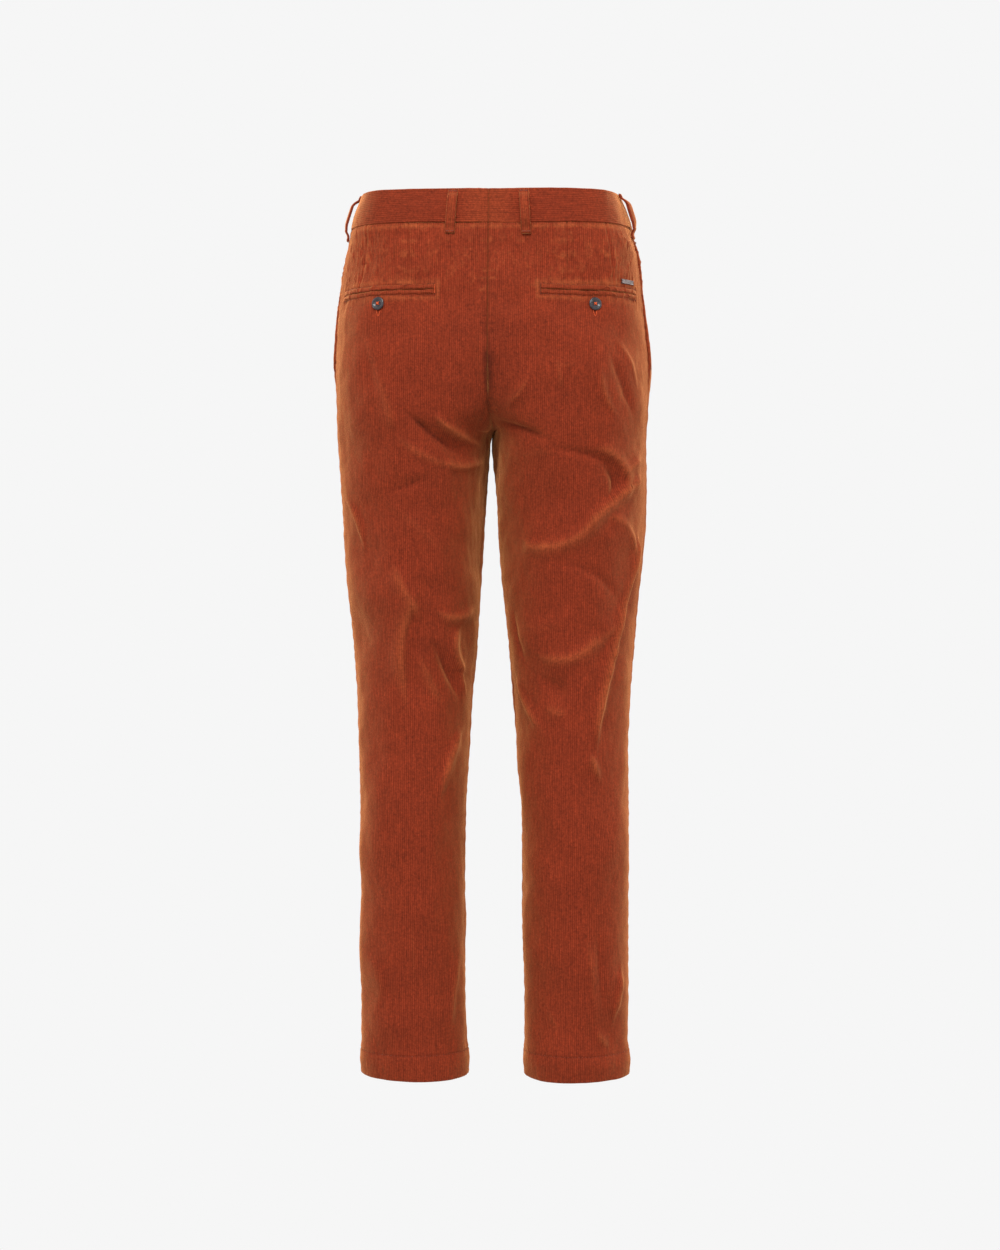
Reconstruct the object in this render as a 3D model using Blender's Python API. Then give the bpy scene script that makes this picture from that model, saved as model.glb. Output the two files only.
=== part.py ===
"""Tapered corduroy trousers with a flat front, filled out as if worn.

Metres, +Z up. The origin is the middle of the waist opening, halfway up the waistband.
The front of the garment faces -Y and the wearer's left is +X.

Each leg is a stack of level rings. A ring starts at the centre back seam, or at the inseam
below the crotch, and runs over the seat, past the outer side and back along the front.
Every panel, band, loop and pocket edge is laid out on those rings by its distance round
them, so that neighbours share one surface and stay SEAM_GAP apart.
"""

import math
from collections import namedtuple

import bmesh
import bpy
import numpy as np
from mathutils import Matrix, Vector

# Lengths down the garment
BAND_HEIGHT = 0.040
OUTSEAM = 1.024
BAND_TOP = BAND_HEIGHT / 2
BAND_FOOT = -BAND_HEIGHT / 2
HEM = BAND_TOP - OUTSEAM
HEM_DEPTH = 0.030
HEM_SLANT = 0.010
HEM_SLANT_RUN = 0.160
CROTCH = -0.252
CROTCH_Y = -0.010
SEAT_START = -0.100
ROUND_START = -0.110
SEAT_FALL = 3.2
FRONT_FALL = 3.0
FLY_FOOT = -0.190
MOUTH_FOOT = -0.185

# Cloth
CLOTH = 0.0014
HEM_FOLD = 0.0012
BAND_WALL = 0.0030
BAND_PROUD = 0.0008
SEAM_GAP = 0.0003
SEAM_EASE = 0.018

# Waistband and fly
BAND_LAP = 0.036
LAP_STEP = 0.0034
LAP_RUN = 0.030
BAND_EDGE = 0.002
BAND_TOP_ROUND = 0.0007
BAND_FOOT_ROUND = 0.0004
FLY_LAP = 0.038
FLY_BACK = 0.012
FLY_DEPTH = CLOTH + 0.0008
FLY_CORNER = 8
FLY_FOOT_SHARE = 0.45

# Slanted front pockets
MOUTH_WIDTH = 0.042
FACING_TUCK = 0.016
FACING_DEPTH = CLOTH + 0.0007
MOUTH_STAND = 0.003
MOUTH_STAND_RUN = 0.16
FACING_BELOW = 0.012
FACING_FLUSH_RUN = 0.014
FACING_STEP = 0.0002
FACING_ROWS = 12
FACING_COLUMNS = 6

# Belt loops
LOOP_WIDTH = 0.011
LOOP_WALL = 0.0016
LOOP_TOP = BAND_TOP - 0.0008
LOOP_FOOT = -0.0335
LOOP_ROOM = 0.0062
BACK_LOOP_X = 0.0415
SIDE_LOOP_BEHIND_LEFT = 0.003
SIDE_LOOP_BEHIND_RIGHT = 0.010
FRONT_LOOP_X = 0.083

# Back pockets
WELT_WIDTH = 0.0052
WELT_SLIT = 0.0009
WELT_WALL = 0.0010
WELT_EDGE = 0.75
WELT_INNER_X = 0.0605
WELT_LENGTH = 0.131
WELT_Z = -0.0965
WELT_DROP = 0.003

# Buttons and the bare metal plate
BUTTON_WIDTH = 0.015
BUTTON_THICK = 0.0030
BUTTON_HOLE = 0.0016
BUTTON_HOLE_OUT = 0.0021
BUTTON_SHARE = 0.488
BUTTON_DROP = 0.0152
BUTTON_LIFT = 0.0009
FRONT_BUTTON_X = 0.016
PLATE_LENGTH = 0.026
PLATE_HEIGHT = 0.0052
PLATE_WALL = 0.0009
PLATE_SHARE = 0.85
PLATE_RISE = 0.0128
PLATE_NOTCH = 0.0012

# Mesh density
QUARTER_STEPS = 24
BACK_COLUMNS = 18
RISE_ROWS = 12
LEG_ROWS = 26
FRONT_COLUMNS = 12
BAND_COLUMNS = 22
BAND_CROWDING = 0.94
SHIELD_ROWS = 12
SHIELD_COLUMNS = 5
WELT_COLUMNS = 12
BUTTON_STEPS = 20
EDGE_SAMPLES = 400

LEFT = 1
RIGHT = -1
SIDE_NAMES = {LEFT: "left", RIGHT: "right"}
SIDE_LOOP_BEHIND = {LEFT: SIDE_LOOP_BEHIND_LEFT, RIGHT: SIDE_LOOP_BEHIND_RIGHT}

# The garment's outline at each height: how far each leg reaches from the middle, on its outer
# and inner side, and how far the back and the front stand from the middle.
Section = namedtuple("Section", "z out_left in_left out_right in_right back front")
SECTIONS = (
    Section(0.020, 0.1500, 0.005, 0.1470, -0.002, 0.104, -0.104),
    Section(-0.020, 0.1630, 0.005, 0.1600, -0.002, 0.111, -0.109),
    Section(-0.055, 0.1715, 0.005, 0.1690, -0.002, 0.118, -0.113),
    Section(-0.095, 0.1780, 0.005, 0.1750, -0.002, 0.125, -0.116),
    Section(-0.140, 0.1810, 0.005, 0.1790, -0.002, 0.131, -0.117),
    Section(-0.180, 0.1825, 0.005, 0.1825, -0.002, 0.133, -0.116),
    Section(-0.220, 0.1815, 0.005, 0.1820, -0.002, 0.130, -0.114),
    Section(-0.262, 0.1805, 0.005, 0.1785, -0.002, 0.121, -0.112),
    Section(-0.325, 0.1765, 0.009, 0.1790, 0.004, 0.109, -0.108),
    Section(-0.410, 0.1720, 0.014, 0.1725, 0.009, 0.097, -0.100),
    Section(-0.493, 0.1640, 0.019, 0.1650, 0.018, 0.087, -0.089),
    Section(-0.560, 0.1585, 0.025, 0.1590, 0.023, 0.081, -0.078),
    Section(-0.620, 0.1560, 0.028, 0.1565, 0.029, 0.082, -0.067),
    Section(-0.700, 0.1550, 0.032, 0.1580, 0.035, 0.085, -0.053),
    Section(-0.790, 0.1535, 0.033, 0.1575, 0.035, 0.083, -0.043),
    Section(-0.915, 0.1525, 0.032, 0.1570, 0.038, 0.077, -0.033),
    Section(-0.957, 0.1520, 0.030, 0.1565, 0.038, 0.0745, -0.031),
    Section(-0.985, 0.1535, 0.028, 0.1595, 0.037, 0.077, -0.033),
    Section(-1.004, 0.1520, 0.029, 0.1575, 0.039, 0.075, -0.031),
)

# How the ring is drawn at each height: where the back-most and front-most points lie between
# the inner and outer side, how square its corners are, and where the side seam runs.
Shape = namedtuple("Shape", "z back_share front_share square_back square_front seam_y")
SHAPES = (
    Shape(0.020, 0.46, 0.28, 3.30, 2.25, 0.030),
    Shape(-0.040, 0.44, 0.30, 2.75, 2.25, 0.036),
    Shape(-0.100, 0.45, 0.34, 2.40, 2.25, 0.040),
    Shape(-0.200, 0.47, 0.42, 2.25, 2.20, 0.034),
    Shape(-0.300, 0.50, 0.48, 2.15, 2.15, 0.014),
    Shape(-0.560, 0.50, 0.50, 2.05, 2.05, 0.004),
    Shape(-1.004, 0.50, 0.50, 2.00, 2.00, 0.022),
)

# The largest folds, each a soft ridge, or a trough where its height is negative, along a bent
# line of three points given by their distance out from the middle and their height.
Fold = namedtuple("Fold", "x1 z1 x2 z2 x3 z3 width height")
LEFT_BACK_FOLDS = (
    Fold(0.046, -0.247, 0.025, -0.261, 0.009, -0.273, 0.010, 0.0035),
    Fold(0.083, -0.279, 0.039, -0.301, 0.009, -0.292, 0.012, 0.0045),
    Fold(0.104, -0.228, 0.074, -0.253, 0.047, -0.265, 0.013, -0.0035),
    Fold(0.057, -0.457, 0.031, -0.465, 0.017, -0.459, 0.011, 0.0050),
    Fold(0.017, -0.463, 0.047, -0.495, 0.025, -0.566, 0.012, 0.0040),
    Fold(0.086, -0.461, 0.103, -0.564, 0.088, -0.633, 0.014, 0.0035),
    Fold(0.026, -0.583, 0.041, -0.640, 0.052, -0.679, 0.013, 0.0035),
    Fold(0.163, -0.322, 0.154, -0.351, 0.142, -0.377, 0.012, 0.0035),
)
RIGHT_BACK_FOLDS = (
    Fold(0.009, -0.247, 0.052, -0.261, 0.082, -0.265, 0.010, -0.0050),
    Fold(0.042, -0.279, 0.088, -0.276, 0.138, -0.295, 0.012, -0.0050),
    Fold(0.177, -0.298, 0.155, -0.326, 0.124, -0.357, 0.013, 0.0070),
    Fold(0.124, -0.349, 0.083, -0.387, 0.039, -0.381, 0.013, 0.0070),
    Fold(0.126, -0.367, 0.155, -0.359, 0.165, -0.390, 0.011, -0.0040),
    Fold(0.169, -0.390, 0.148, -0.495, 0.127, -0.553, 0.013, 0.0055),
    Fold(0.127, -0.553, 0.131, -0.581, 0.124, -0.628, 0.012, 0.0040),
    Fold(0.110, -0.636, 0.113, -0.658, 0.133, -0.666, 0.011, 0.0030),
    Fold(0.046, -0.513, 0.080, -0.507, 0.114, -0.512, 0.012, 0.0050),
    Fold(0.063, -0.541, 0.092, -0.550, 0.117, -0.552, 0.016, -0.0050),
    Fold(0.012, -0.356, 0.017, -0.461, 0.034, -0.554, 0.011, 0.0030),
    Fold(0.014, -0.144, 0.030, -0.195, 0.018, -0.242, 0.018, -0.0035),
)
FRONT_FOLDS = (
    Fold(0.004, -0.236, 0.046, -0.250, 0.098, -0.230, 0.013, 0.0040),
    Fold(0.006, -0.268, 0.056, -0.292, 0.112, -0.278, 0.014, 0.0040),
    Fold(0.034, -0.300, 0.078, -0.318, 0.140, -0.300, 0.016, -0.0030),
    Fold(0.044, -0.525, 0.080, -0.545, 0.128, -0.520, 0.018, 0.0030),
    Fold(0.140, -0.565, 0.105, -0.590, 0.056, -0.582, 0.018, -0.0030),
    Fold(0.126, -0.430, 0.116, -0.640, 0.100, -0.820, 0.020, 0.0035),
)
FOLD_STEPS = 10
FADE_LENGTH = 0.22

# A belt loop from its top fold to its lower end: what it is sewn on, and the share of its full
# room that it stands off.
ON_BAND = BAND_PROUD + SEAM_GAP
ON_PANEL = SEAM_GAP
LoopStep = namedtuple("LoopStep", "z sewn_on stand")
LOOP_PATH = (
    LoopStep(LOOP_TOP, ON_BAND, 0.0),
    LoopStep(0.0140, ON_BAND, 0.0),
    LoopStep(0.0105, ON_BAND, 0.6),
    LoopStep(0.0060, ON_BAND, 1.0),
    LoopStep(-0.0150, ON_BAND, 1.0),
    LoopStep(-0.0205, ON_BAND, 0.8),
    LoopStep(-0.0265, ON_PANEL, 0.1),
    LoopStep(LOOP_FOOT, ON_PANEL, 0.0),
)

Colour = namedtuple("Colour", "red green blue roughness metallic")
CORDUROY = Colour(0.270, 0.045, 0.018, 0.85, 0.0)
CORDUROY_INSIDE = Colour(0.230, 0.040, 0.018, 0.90, 0.0)
BUTTON_COLOUR = Colour(0.035, 0.024, 0.022, 0.35, 0.0)
PLATE_COLOUR = Colour(0.160, 0.150, 0.150, 0.35, 1.0)


def ease(share):
    """0 to 1 with a soft start and a soft end."""
    held = np.clip(share, 0.0, 1.0)
    return held * held * (3.0 - 2.0 * held)


def mix(start, end, share):
    return start + (end - start) * share


def column(rows, name):
    """A table's column as a smooth function of height that never overshoots a row."""
    ordered = sorted(rows, key=lambda row: row.z)
    heights = np.array([row.z for row in ordered])
    values = np.array([getattr(row, name) for row in ordered])
    run = np.diff(heights)
    slope = np.diff(values) / run
    steepness = slope[:-1] * slope[1:]
    total = slope[:-1] + slope[1:]
    inner = np.where(steepness > 0, 2 * steepness / np.where(steepness > 0, total, 1), 0)
    slopes = np.concatenate([slope[:1], inner, slope[-1:]])

    def value(z):
        i = np.clip(np.searchsorted(heights, z) - 1, 0, len(run) - 1)
        t = (z - heights[i]) / run[i]
        rise = values[i + 1] - values[i]
        bend_in = slopes[i] * run[i] - rise
        bend_out = slopes[i + 1] * run[i] - rise
        return values[i] + rise * t + t * (1 - t) * (bend_in * (1 - t) - bend_out * t)

    return value


OUTER = {LEFT: column(SECTIONS, "out_left"), RIGHT: column(SECTIONS, "out_right")}
INNER = {LEFT: column(SECTIONS, "in_left"), RIGHT: column(SECTIONS, "in_right")}
BACK = column(SECTIONS, "back")
FRONT = column(SECTIONS, "front")
BACK_SHARE = column(SHAPES, "back_share")
FRONT_SHARE = column(SHAPES, "front_share")
SQUARE_BACK = column(SHAPES, "square_back")
SQUARE_FRONT = column(SHAPES, "square_front")
SEAM_Y = column(SHAPES, "seam_y")


def inner_reach(side, z):
    """The distance from the middle to the inseam, which is 0 from the crotch up."""
    opening = np.clip((CROTCH - z) / 0.014, 0.0, 1.0)
    return INNER[side](z) * np.sqrt(opening)


def centre_y(z, outermost, power):
    """Where the centre seam or the inseam stands: a U from the seat down to the crotch."""
    middle = (BACK(z) + FRONT(z)) / 2
    inseam = mix(CROTCH_Y, middle, ease((CROTCH - z) / 0.20))
    down = np.clip((SEAT_START - z) / (SEAT_START - CROTCH), 0.0, 1.0)
    return inseam + (outermost - inseam) * (1 - down**power) ** (1 / power)


def inner_quarter(steps, tip, end, roundness):
    """From a ring's back-most or front-most point to the centre seam. It runs flat across the
    seat and turns in round towards the crotch."""
    angle = steps * math.pi / 2
    across = mix(steps, np.sin(angle), roundness)
    down = mix(ease(steps), 1 - np.cos(angle), roundness)
    return mix(tip[0], end[0], across), mix(tip[1], end[1], down)


def outer_quarter(steps, tip, side, square):
    """From a ring's back-most or front-most point to its widest point."""
    angle = steps * math.pi / 2
    x = tip[0] + (side[0] - tip[0]) * np.sin(angle) ** (2 / square)
    y = side[1] + (tip[1] - side[1]) * np.cos(angle) ** (2 / square)
    return x, y


def ring(side, z):
    """The leg's rings at the heights z, as points of shape (heights, points, 2)."""
    z = np.asarray(z, float)[:, None]
    steps = np.linspace(0.0, 1.0, QUARTER_STEPS + 1)[None, :]
    outer, inner = OUTER[side](z), inner_reach(side, z)
    back, front = BACK(z), FRONT(z)
    widest = (outer, (back + front) / 2)
    back_tip = (mix(inner, outer, BACK_SHARE(z)), back)
    front_tip = (mix(inner, outer, FRONT_SHARE(z)), front)
    roundness = ease((ROUND_START - z) / (ROUND_START - CROTCH))
    back_end = (inner, centre_y(z, back, SEAT_FALL))
    front_end = (inner, centre_y(z, front, FRONT_FALL))
    front_side = outer_quarter(steps[:, :-1], front_tip, widest, SQUARE_FRONT(z))
    quarters = (
        [part[:, ::-1] for part in inner_quarter(steps, back_tip, back_end, roundness)],
        outer_quarter(steps[:, 1:], back_tip, widest, SQUARE_BACK(z)),
        [part[:, ::-1] for part in front_side],
        inner_quarter(steps[:, 1:], front_tip, front_end, roundness),
    )
    x = np.concatenate([quarter[0] for quarter in quarters], axis=1)
    y = np.concatenate([quarter[1] for quarter in quarters], axis=1)
    return np.stack([side * x, y], axis=-1)


def distances(rings):
    """The distance round each ring to each of its points."""
    steps = np.linalg.norm(np.diff(rings, axis=1), axis=2)
    return np.concatenate([np.zeros((len(rings), 1)), np.cumsum(steps, axis=1)], axis=1)


def girth(side, z):
    """The distance round each ring from end to end."""
    return distances(ring(side, z))[:, -1]


def seam_round(side, z):
    """The distance round each ring from its start to the side seam."""
    z = np.asarray(z, float)
    rings = ring(side, z)
    round_to = distances(rings)
    reach = slice(QUARTER_STEPS, 3 * QUARTER_STEPS + 1)
    return np.array(
        [
            np.interp(-seam, -points[reach, 1], along[reach])
            for seam, points, along in zip(SEAM_Y(z), rings, round_to)
        ]
    )


def round_at_x(side, x, z, on_back=True):
    """The distance round the ring at height z to the point x out from the middle."""
    points = ring(side, [z])[0]
    along = distances(points[None])[0]
    reach = slice(0, 2 * QUARTER_STEPS + 1) if on_back else slice(2 * QUARTER_STEPS, None)
    outward = np.abs(points[reach, 0])
    order = np.argsort(outward)
    return float(np.interp(x, outward[order], along[reach][order]))


def base_point(side, along, z):
    """Points on the smooth form, by their distance round the ring and their height. A distance
    before the start or past the end carries on round the other leg, above the crotch."""
    along, z = np.broadcast_arrays(np.asarray(along, float), np.asarray(z, float))
    points = np.empty((len(z), 3))
    rings, other = ring(side, z), ring(-side, z)
    round_to, other_round = distances(rings), distances(other)
    for i in range(len(z)):
        line, reach, s = rings[i], round_to[i], along[i]
        if s > reach[-1] and z[i] > CROTCH:
            line, s = other[i], other_round[i][-1] - (s - reach[-1])
            reach = other_round[i]
        elif s < 0 and z[i] > CROTCH:
            line, reach, s = other[i], other_round[i], -s
        points[i] = np.interp(s, reach, line[:, 0]), np.interp(s, reach, line[:, 1]), z[i]
    return points


def base_normal(side, along, z):
    """Outward directions on the smooth form."""
    reach = 0.004
    across = base_point(side, along + reach, z) - base_point(side, along - reach, z)
    down = base_point(side, along, z - reach) - base_point(side, along, z + reach)
    down[:, :2] *= (np.abs(z - CROTCH) > 0.03)[:, None]
    normals = np.cross(across, down) * side
    return normals / np.linalg.norm(normals, axis=1, keepdims=True)


def fold_line(side, fold, on_back):
    """A fold's bent line as (distance round, height) points."""
    t = np.linspace(0.0, 1.0, FOLD_STEPS + 1)
    x = (1 - t) ** 2 * fold.x1 + 2 * t * (1 - t) * fold.x2 + t**2 * fold.x3
    z = (1 - t) ** 2 * fold.z1 + 2 * t * (1 - t) * fold.z2 + t**2 * fold.z3
    return np.array([(round_at_x(side, a, b, on_back), b) for a, b in zip(x, z)])


def along_line(points, line):
    """Each point's distance to a line of points, and its share of the way along it."""
    nearest = np.full(len(points), np.inf)
    share = np.zeros(len(points))
    for i, (start, end) in enumerate(zip(line[:-1], line[1:])):
        way = end - start
        t = np.clip((points - start) @ way / (way @ way), 0.0, 1.0)
        gap = np.linalg.norm(points - start - t[:, None] * way, axis=1)
        closer = gap < nearest
        nearest[closer] = gap[closer]
        share[closer] = ((i + t) / (len(line) - 1))[closer]
    return nearest, share


def fold_relief(side, along, z):
    """How far the folds lift the cloth. They die out at the seams, which hold it taut."""
    points = np.stack([along, z], axis=1)
    lift = np.zeros(len(z))
    back_folds = LEFT_BACK_FOLDS if side == LEFT else RIGHT_BACK_FOLDS
    for folds, on_back in ((back_folds, True), (FRONT_FOLDS, False)):
        for fold in folds:
            gap, share = along_line(points, fold_line(side, fold, on_back))
            ends = ease(share / FADE_LENGTH) * ease((1 - share) / FADE_LENGTH)
            lift += fold.height * np.exp(-((gap / fold.width) ** 2)) * mix(0.25, 1, ends)
    to_centre = np.minimum(along, girth(side, z) - along)
    to_seam = np.abs(along - seam_round(side, z))
    taut = mix(0.15, 1, ease(to_centre / SEAM_EASE)) * mix(0.6, 1, ease(to_seam / SEAM_EASE))
    return lift * taut * ease((z - HEM) / HEM_DEPTH - 0.6)


def skin(side, along, z, depth=0.0):
    """Points on the garment's surface, or that much below it where depth is above 0."""
    along, z = np.broadcast_arrays(np.asarray(along, float), np.asarray(z, float))
    out = fold_relief(side, along, z) - depth
    return base_point(side, along, z) + base_normal(side, along, z) * out[:, None]


def keep_to_side(side, points):
    """Holds points above the crotch on their own side of the middle, clear of the other leg."""
    kept = points.copy()
    reach = side * kept[:, 0]
    above = kept[:, 2] > CROTCH - SEAM_GAP
    kept[above, 0] = side * np.maximum(reach[above], SEAM_GAP / 2)
    return kept


def even_heights(side, parts, edge, top, foot):
    """Heights that part a stretch of a panel's edge evenly by its length."""
    z = np.linspace(top, foot, EDGE_SAMPLES)
    rounds = {"side": seam_round, "back": lambda side, z: 0 * z, "front": girth}
    points = base_point(side, rounds[edge](side, z), z)
    length = np.concatenate([[0], np.cumsum(np.linalg.norm(np.diff(points, axis=0), axis=1))])
    return np.interp(np.linspace(0, length[-1], parts + 1), length, z)


def material(name, colour):
    made = bpy.data.materials.new(name)
    made.use_nodes = True
    made.diffuse_color = (colour.red, colour.green, colour.blue, 1.0)
    shader = made.node_tree.nodes["Principled BSDF"]
    shader.inputs["Base Color"].default_value = (colour.red, colour.green, colour.blue, 1.0)
    shader.inputs["Roughness"].default_value = colour.roughness
    shader.inputs["Metallic"].default_value = colour.metallic
    return made


def add_object(name, mesh, colour):
    placed = bpy.data.objects.new(name, mesh)
    mesh.materials.append(material(name, colour))
    bpy.context.scene.collection.objects.link(placed)
    return placed


def add_wall(name, outer, inner, colour):
    """A closed wall between two grids of points of shape (rows, columns, 3)."""
    rows, columns = outer.shape[:2]
    shape = bmesh.new()
    faces = [
        [[shape.verts.new(point) for point in row] for row in grid] for grid in (outer, inner)
    ]
    top, under = faces
    for i in range(rows - 1):
        for j in range(columns - 1):
            shape.faces.new((top[i][j], top[i + 1][j], top[i + 1][j + 1], top[i][j + 1]))
            shape.faces.new(
                (under[i][j], under[i][j + 1], under[i + 1][j + 1], under[i + 1][j])
            )
    border = [(0, j) for j in range(columns)]
    border += [(i, columns - 1) for i in range(1, rows)]
    border += [(rows - 1, j) for j in range(columns - 2, -1, -1)]
    border += [(i, 0) for i in range(rows - 2, 0, -1)]
    for (i, j), (m, n) in zip(border, border[1:] + border[:1]):
        shape.faces.new((top[i][j], top[m][n], under[m][n], under[i][j]))
    bmesh.ops.triangulate(shape, faces=shape.faces[:])
    if shape.calc_volume(signed=True) < 0:
        bmesh.ops.reverse_faces(shape, faces=shape.faces[:])
    mesh = bpy.data.meshes.new(name)
    shape.to_mesh(mesh)
    shape.free()
    mesh.shade_smooth()
    mesh.set_sharp_from_angle(angle=math.radians(50))
    return add_object(name, mesh, colour)


def wall_on_skin(name, side, along, z, depth, wall, colour, one_side=False):
    """A wall laid out on the garment by grids of distance round and height. Its outer face is
    that depth below the surface, and negative depth stands proud."""
    shape = z.shape
    depth = np.broadcast_to(depth, shape).ravel()
    wall = np.broadcast_to(wall, shape).ravel()
    outer = skin(side, along.ravel(), z.ravel(), depth)
    inner = skin(side, along.ravel(), z.ravel(), depth + wall)
    if one_side:
        outer = keep_to_side(side, outer)
        inner = keep_to_side(side, inner)
    return add_wall(name, outer.reshape(*shape, 3), inner.reshape(*shape, 3), colour)


def panel_rows(side, columns, inner_edge):
    """The heights of a panel's grid and each point's share across it, from the side seam to the
    inner edge. Both panels of a leg have the same rows along the seams that they share, and the
    last rows hold the turned-up hem."""
    top = BAND_FOOT - SEAM_GAP
    fold = HEM + HEM_DEPTH
    outside = even_heights(side, RISE_ROWS + LEG_ROWS, "side", top, fold)[:, None]
    rise = even_heights(side, RISE_ROWS, inner_edge, top, CROTCH)
    inseam = even_heights(side, LEG_ROWS, "back", CROTCH, fold)
    inside = np.concatenate([rise, inseam[1:]])[:, None]
    share = np.linspace(0.0, 1.0, columns + 1)[None, :]
    z = mix(outside, inside, share)
    hem = np.array([fold - 0.001, fold - HEM_DEPTH / 2, HEM])[:, None]
    z = np.vstack([z, np.broadcast_to(hem, (3, columns + 1))])
    wall = np.full(z.shape, CLOTH)
    wall[-3:] += HEM_FOLD
    return z, np.broadcast_to(share, z.shape), wall


def hem_slant(side, along, z):
    """How far the hem's slant lifts each point: the leg is cut shorter in front than behind."""
    y = base_point(side, along.ravel(), z.ravel())[:, 1].reshape(z.shape)
    forward = np.clip((BACK(z) - y) / (BACK(z) - FRONT(z)), 0.0, 1.0)
    return HEM_SLANT * forward * ease(1 - (z - HEM) / HEM_SLANT_RUN)


def back_panel(side):
    z, share, wall = panel_rows(side, BACK_COLUMNS, "back")

    def layout(heights):
        seam = seam_round(side, heights.ravel()).reshape(heights.shape)
        return mix(seam - SEAM_GAP / 2, SEAM_GAP / 2, share)

    z = z + hem_slant(side, layout(z), z)
    name = "back_" + SIDE_NAMES[side]
    return wall_on_skin(name, side, layout(z), z, 0.0, wall, CORDUROY, one_side=True)


def mouth_cut(z):
    """How far the slanted pocket mouth is cut in from the side seam."""
    return MOUTH_WIDTH * np.clip((z - MOUTH_FOOT) / (BAND_FOOT - MOUTH_FOOT), 0.0, 1.0)


def front_panel(side):
    z, share, wall = panel_rows(side, FRONT_COLUMNS, "front")

    def layout(heights):
        seam = seam_round(side, heights.ravel()).reshape(heights.shape)
        end = girth(side, heights.ravel()).reshape(heights.shape)
        start = seam + SEAM_GAP / 2 + mouth_cut(heights)
        return mix(start, end - SEAM_GAP / 2, share)

    z = z + hem_slant(side, layout(z), z)
    inside = ease((z - MOUTH_FOOT + 0.03) / 0.05) * ease((BAND_FOOT - z) / 0.06)
    stand = MOUTH_STAND * inside * ease(1 - share / MOUTH_STAND_RUN)
    name = "front_" + SIDE_NAMES[side]
    return wall_on_skin(name, side, layout(z), z, -stand, wall, CORDUROY, one_side=True)


def pocket_facing(side):
    """The cloth seen in the pocket mouth. It is flush at the side seam and runs on under the
    front panel's cut edge."""
    heights = np.linspace(BAND_FOOT - SEAM_GAP, MOUTH_FOOT - FACING_BELOW, FACING_ROWS + 1)
    share = np.linspace(0.0, 1.0, FACING_COLUMNS + 1)[None, :]
    z = np.repeat(heights[:, None], FACING_COLUMNS + 1, axis=1)
    cut = mouth_cut(heights)[:, None]
    start = seam_round(side, heights)[:, None] + SEAM_GAP / 2
    along = mix(start, start + cut + FACING_TUCK, share)
    flush_run = np.minimum(cut * 0.8, FACING_FLUSH_RUN)
    sunk = np.where(flush_run > SEAM_GAP, ease((along - start) / (flush_run + SEAM_GAP)), 1)
    name = "pocket_facing_" + SIDE_NAMES[side]
    wall = CLOTH - FACING_STEP
    return wall_on_skin(name, side, along, z, (FACING_DEPTH + FACING_STEP) * sunk, wall, CORDUROY)


def waistband(side):
    """Half of the band, from the centre back seam to the centre front. The right half runs on
    under the left one, which carries the buttonhole."""
    heights = np.array([BAND_TOP, BAND_TOP - BAND_EDGE, 0, BAND_FOOT + BAND_EDGE, BAND_FOOT])
    lap = BAND_LAP if side == RIGHT else -SEAM_GAP / 2
    length = girth(side, heights)[:, None]
    share = np.linspace(0.0, 1.0, BAND_COLUMNS + 1)[None, :] ** BAND_CROWDING
    along = mix(SEAM_GAP / 2, length + lap, share)
    z = np.repeat(heights[:, None], BAND_COLUMNS + 1, axis=1)
    near = ease((along - length + LAP_RUN) / LAP_RUN)
    shift = near * LAP_STEP if side == RIGHT else np.zeros(z.shape)
    rounded = np.array([BAND_TOP_ROUND, 0, 0, 0, BAND_FOOT_ROUND])[:, None]
    depth = shift - BAND_PROUD + rounded
    wall = BAND_WALL - 2 * rounded + np.zeros(z.shape)
    name = "waistband_" + SIDE_NAMES[side]
    return wall_on_skin(name, side, along, z, depth, wall, CORDUROY)


def fly_shield():
    """The strip under the fly edge, joined to the right front and lapping under the left."""
    heights = np.linspace(BAND_FOOT - SEAM_GAP, FLY_FOOT, SHIELD_ROWS + 1)
    share = np.linspace(0.0, 1.0, SHIELD_COLUMNS + 1)[None, :]
    corner = 1 - ((BAND_FOOT - heights) / (BAND_FOOT - FLY_FOOT)) ** FLY_CORNER
    length = girth(RIGHT, heights)[:, None]
    width = FLY_LAP * mix(FLY_FOOT_SHARE, 1.0, np.sqrt(np.maximum(corner, 0)))[:, None]
    along = mix(length - FLY_BACK, length + width, share)
    z = np.repeat(heights[:, None], SHIELD_COLUMNS + 1, axis=1)
    return wall_on_skin("fly_shield", RIGHT, along, z, FLY_DEPTH, CLOTH, CORDUROY_INSIDE)


def belt_loop(name, side, middle):
    """A strip sewn flat at its folded ends and standing off the band between them."""
    across = np.linspace(-LOOP_WIDTH / 2, LOOP_WIDTH / 2, 3)[None, :]
    heights = np.array([step.z for step in LOOP_PATH])
    stands = np.array([step.sewn_on + step.stand * LOOP_ROOM for step in LOOP_PATH])
    share = middle / girth(side, [0.0])[0]
    z = np.repeat(heights[:, None], 3, axis=1)
    lift = np.repeat(stands[:, None], 3, axis=1)
    along = share * girth(side, heights)[:, None] + across
    return wall_on_skin(name, side, along, z, -lift - LOOP_WALL, LOOP_WALL, CORDUROY)


def belt_loops():
    for side in (LEFT, RIGHT):
        places = (
            ("back", round_at_x(side, BACK_LOOP_X, 0.0)),
            ("side", seam_round(side, [0.0])[0] - SIDE_LOOP_BEHIND[side]),
            ("front", round_at_x(side, FRONT_LOOP_X, 0.0, on_back=False)),
        )
        for place, middle in places:
            belt_loop("loop_" + place + "_" + SIDE_NAMES[side], side, middle)


def pocket_line(side, share):
    """Distance round and height along a back pocket's mouth, from its inner end outwards."""
    start = round_at_x(side, WELT_INNER_X, WELT_Z)
    return start + WELT_LENGTH * share, WELT_Z - WELT_DROP * share


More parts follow.
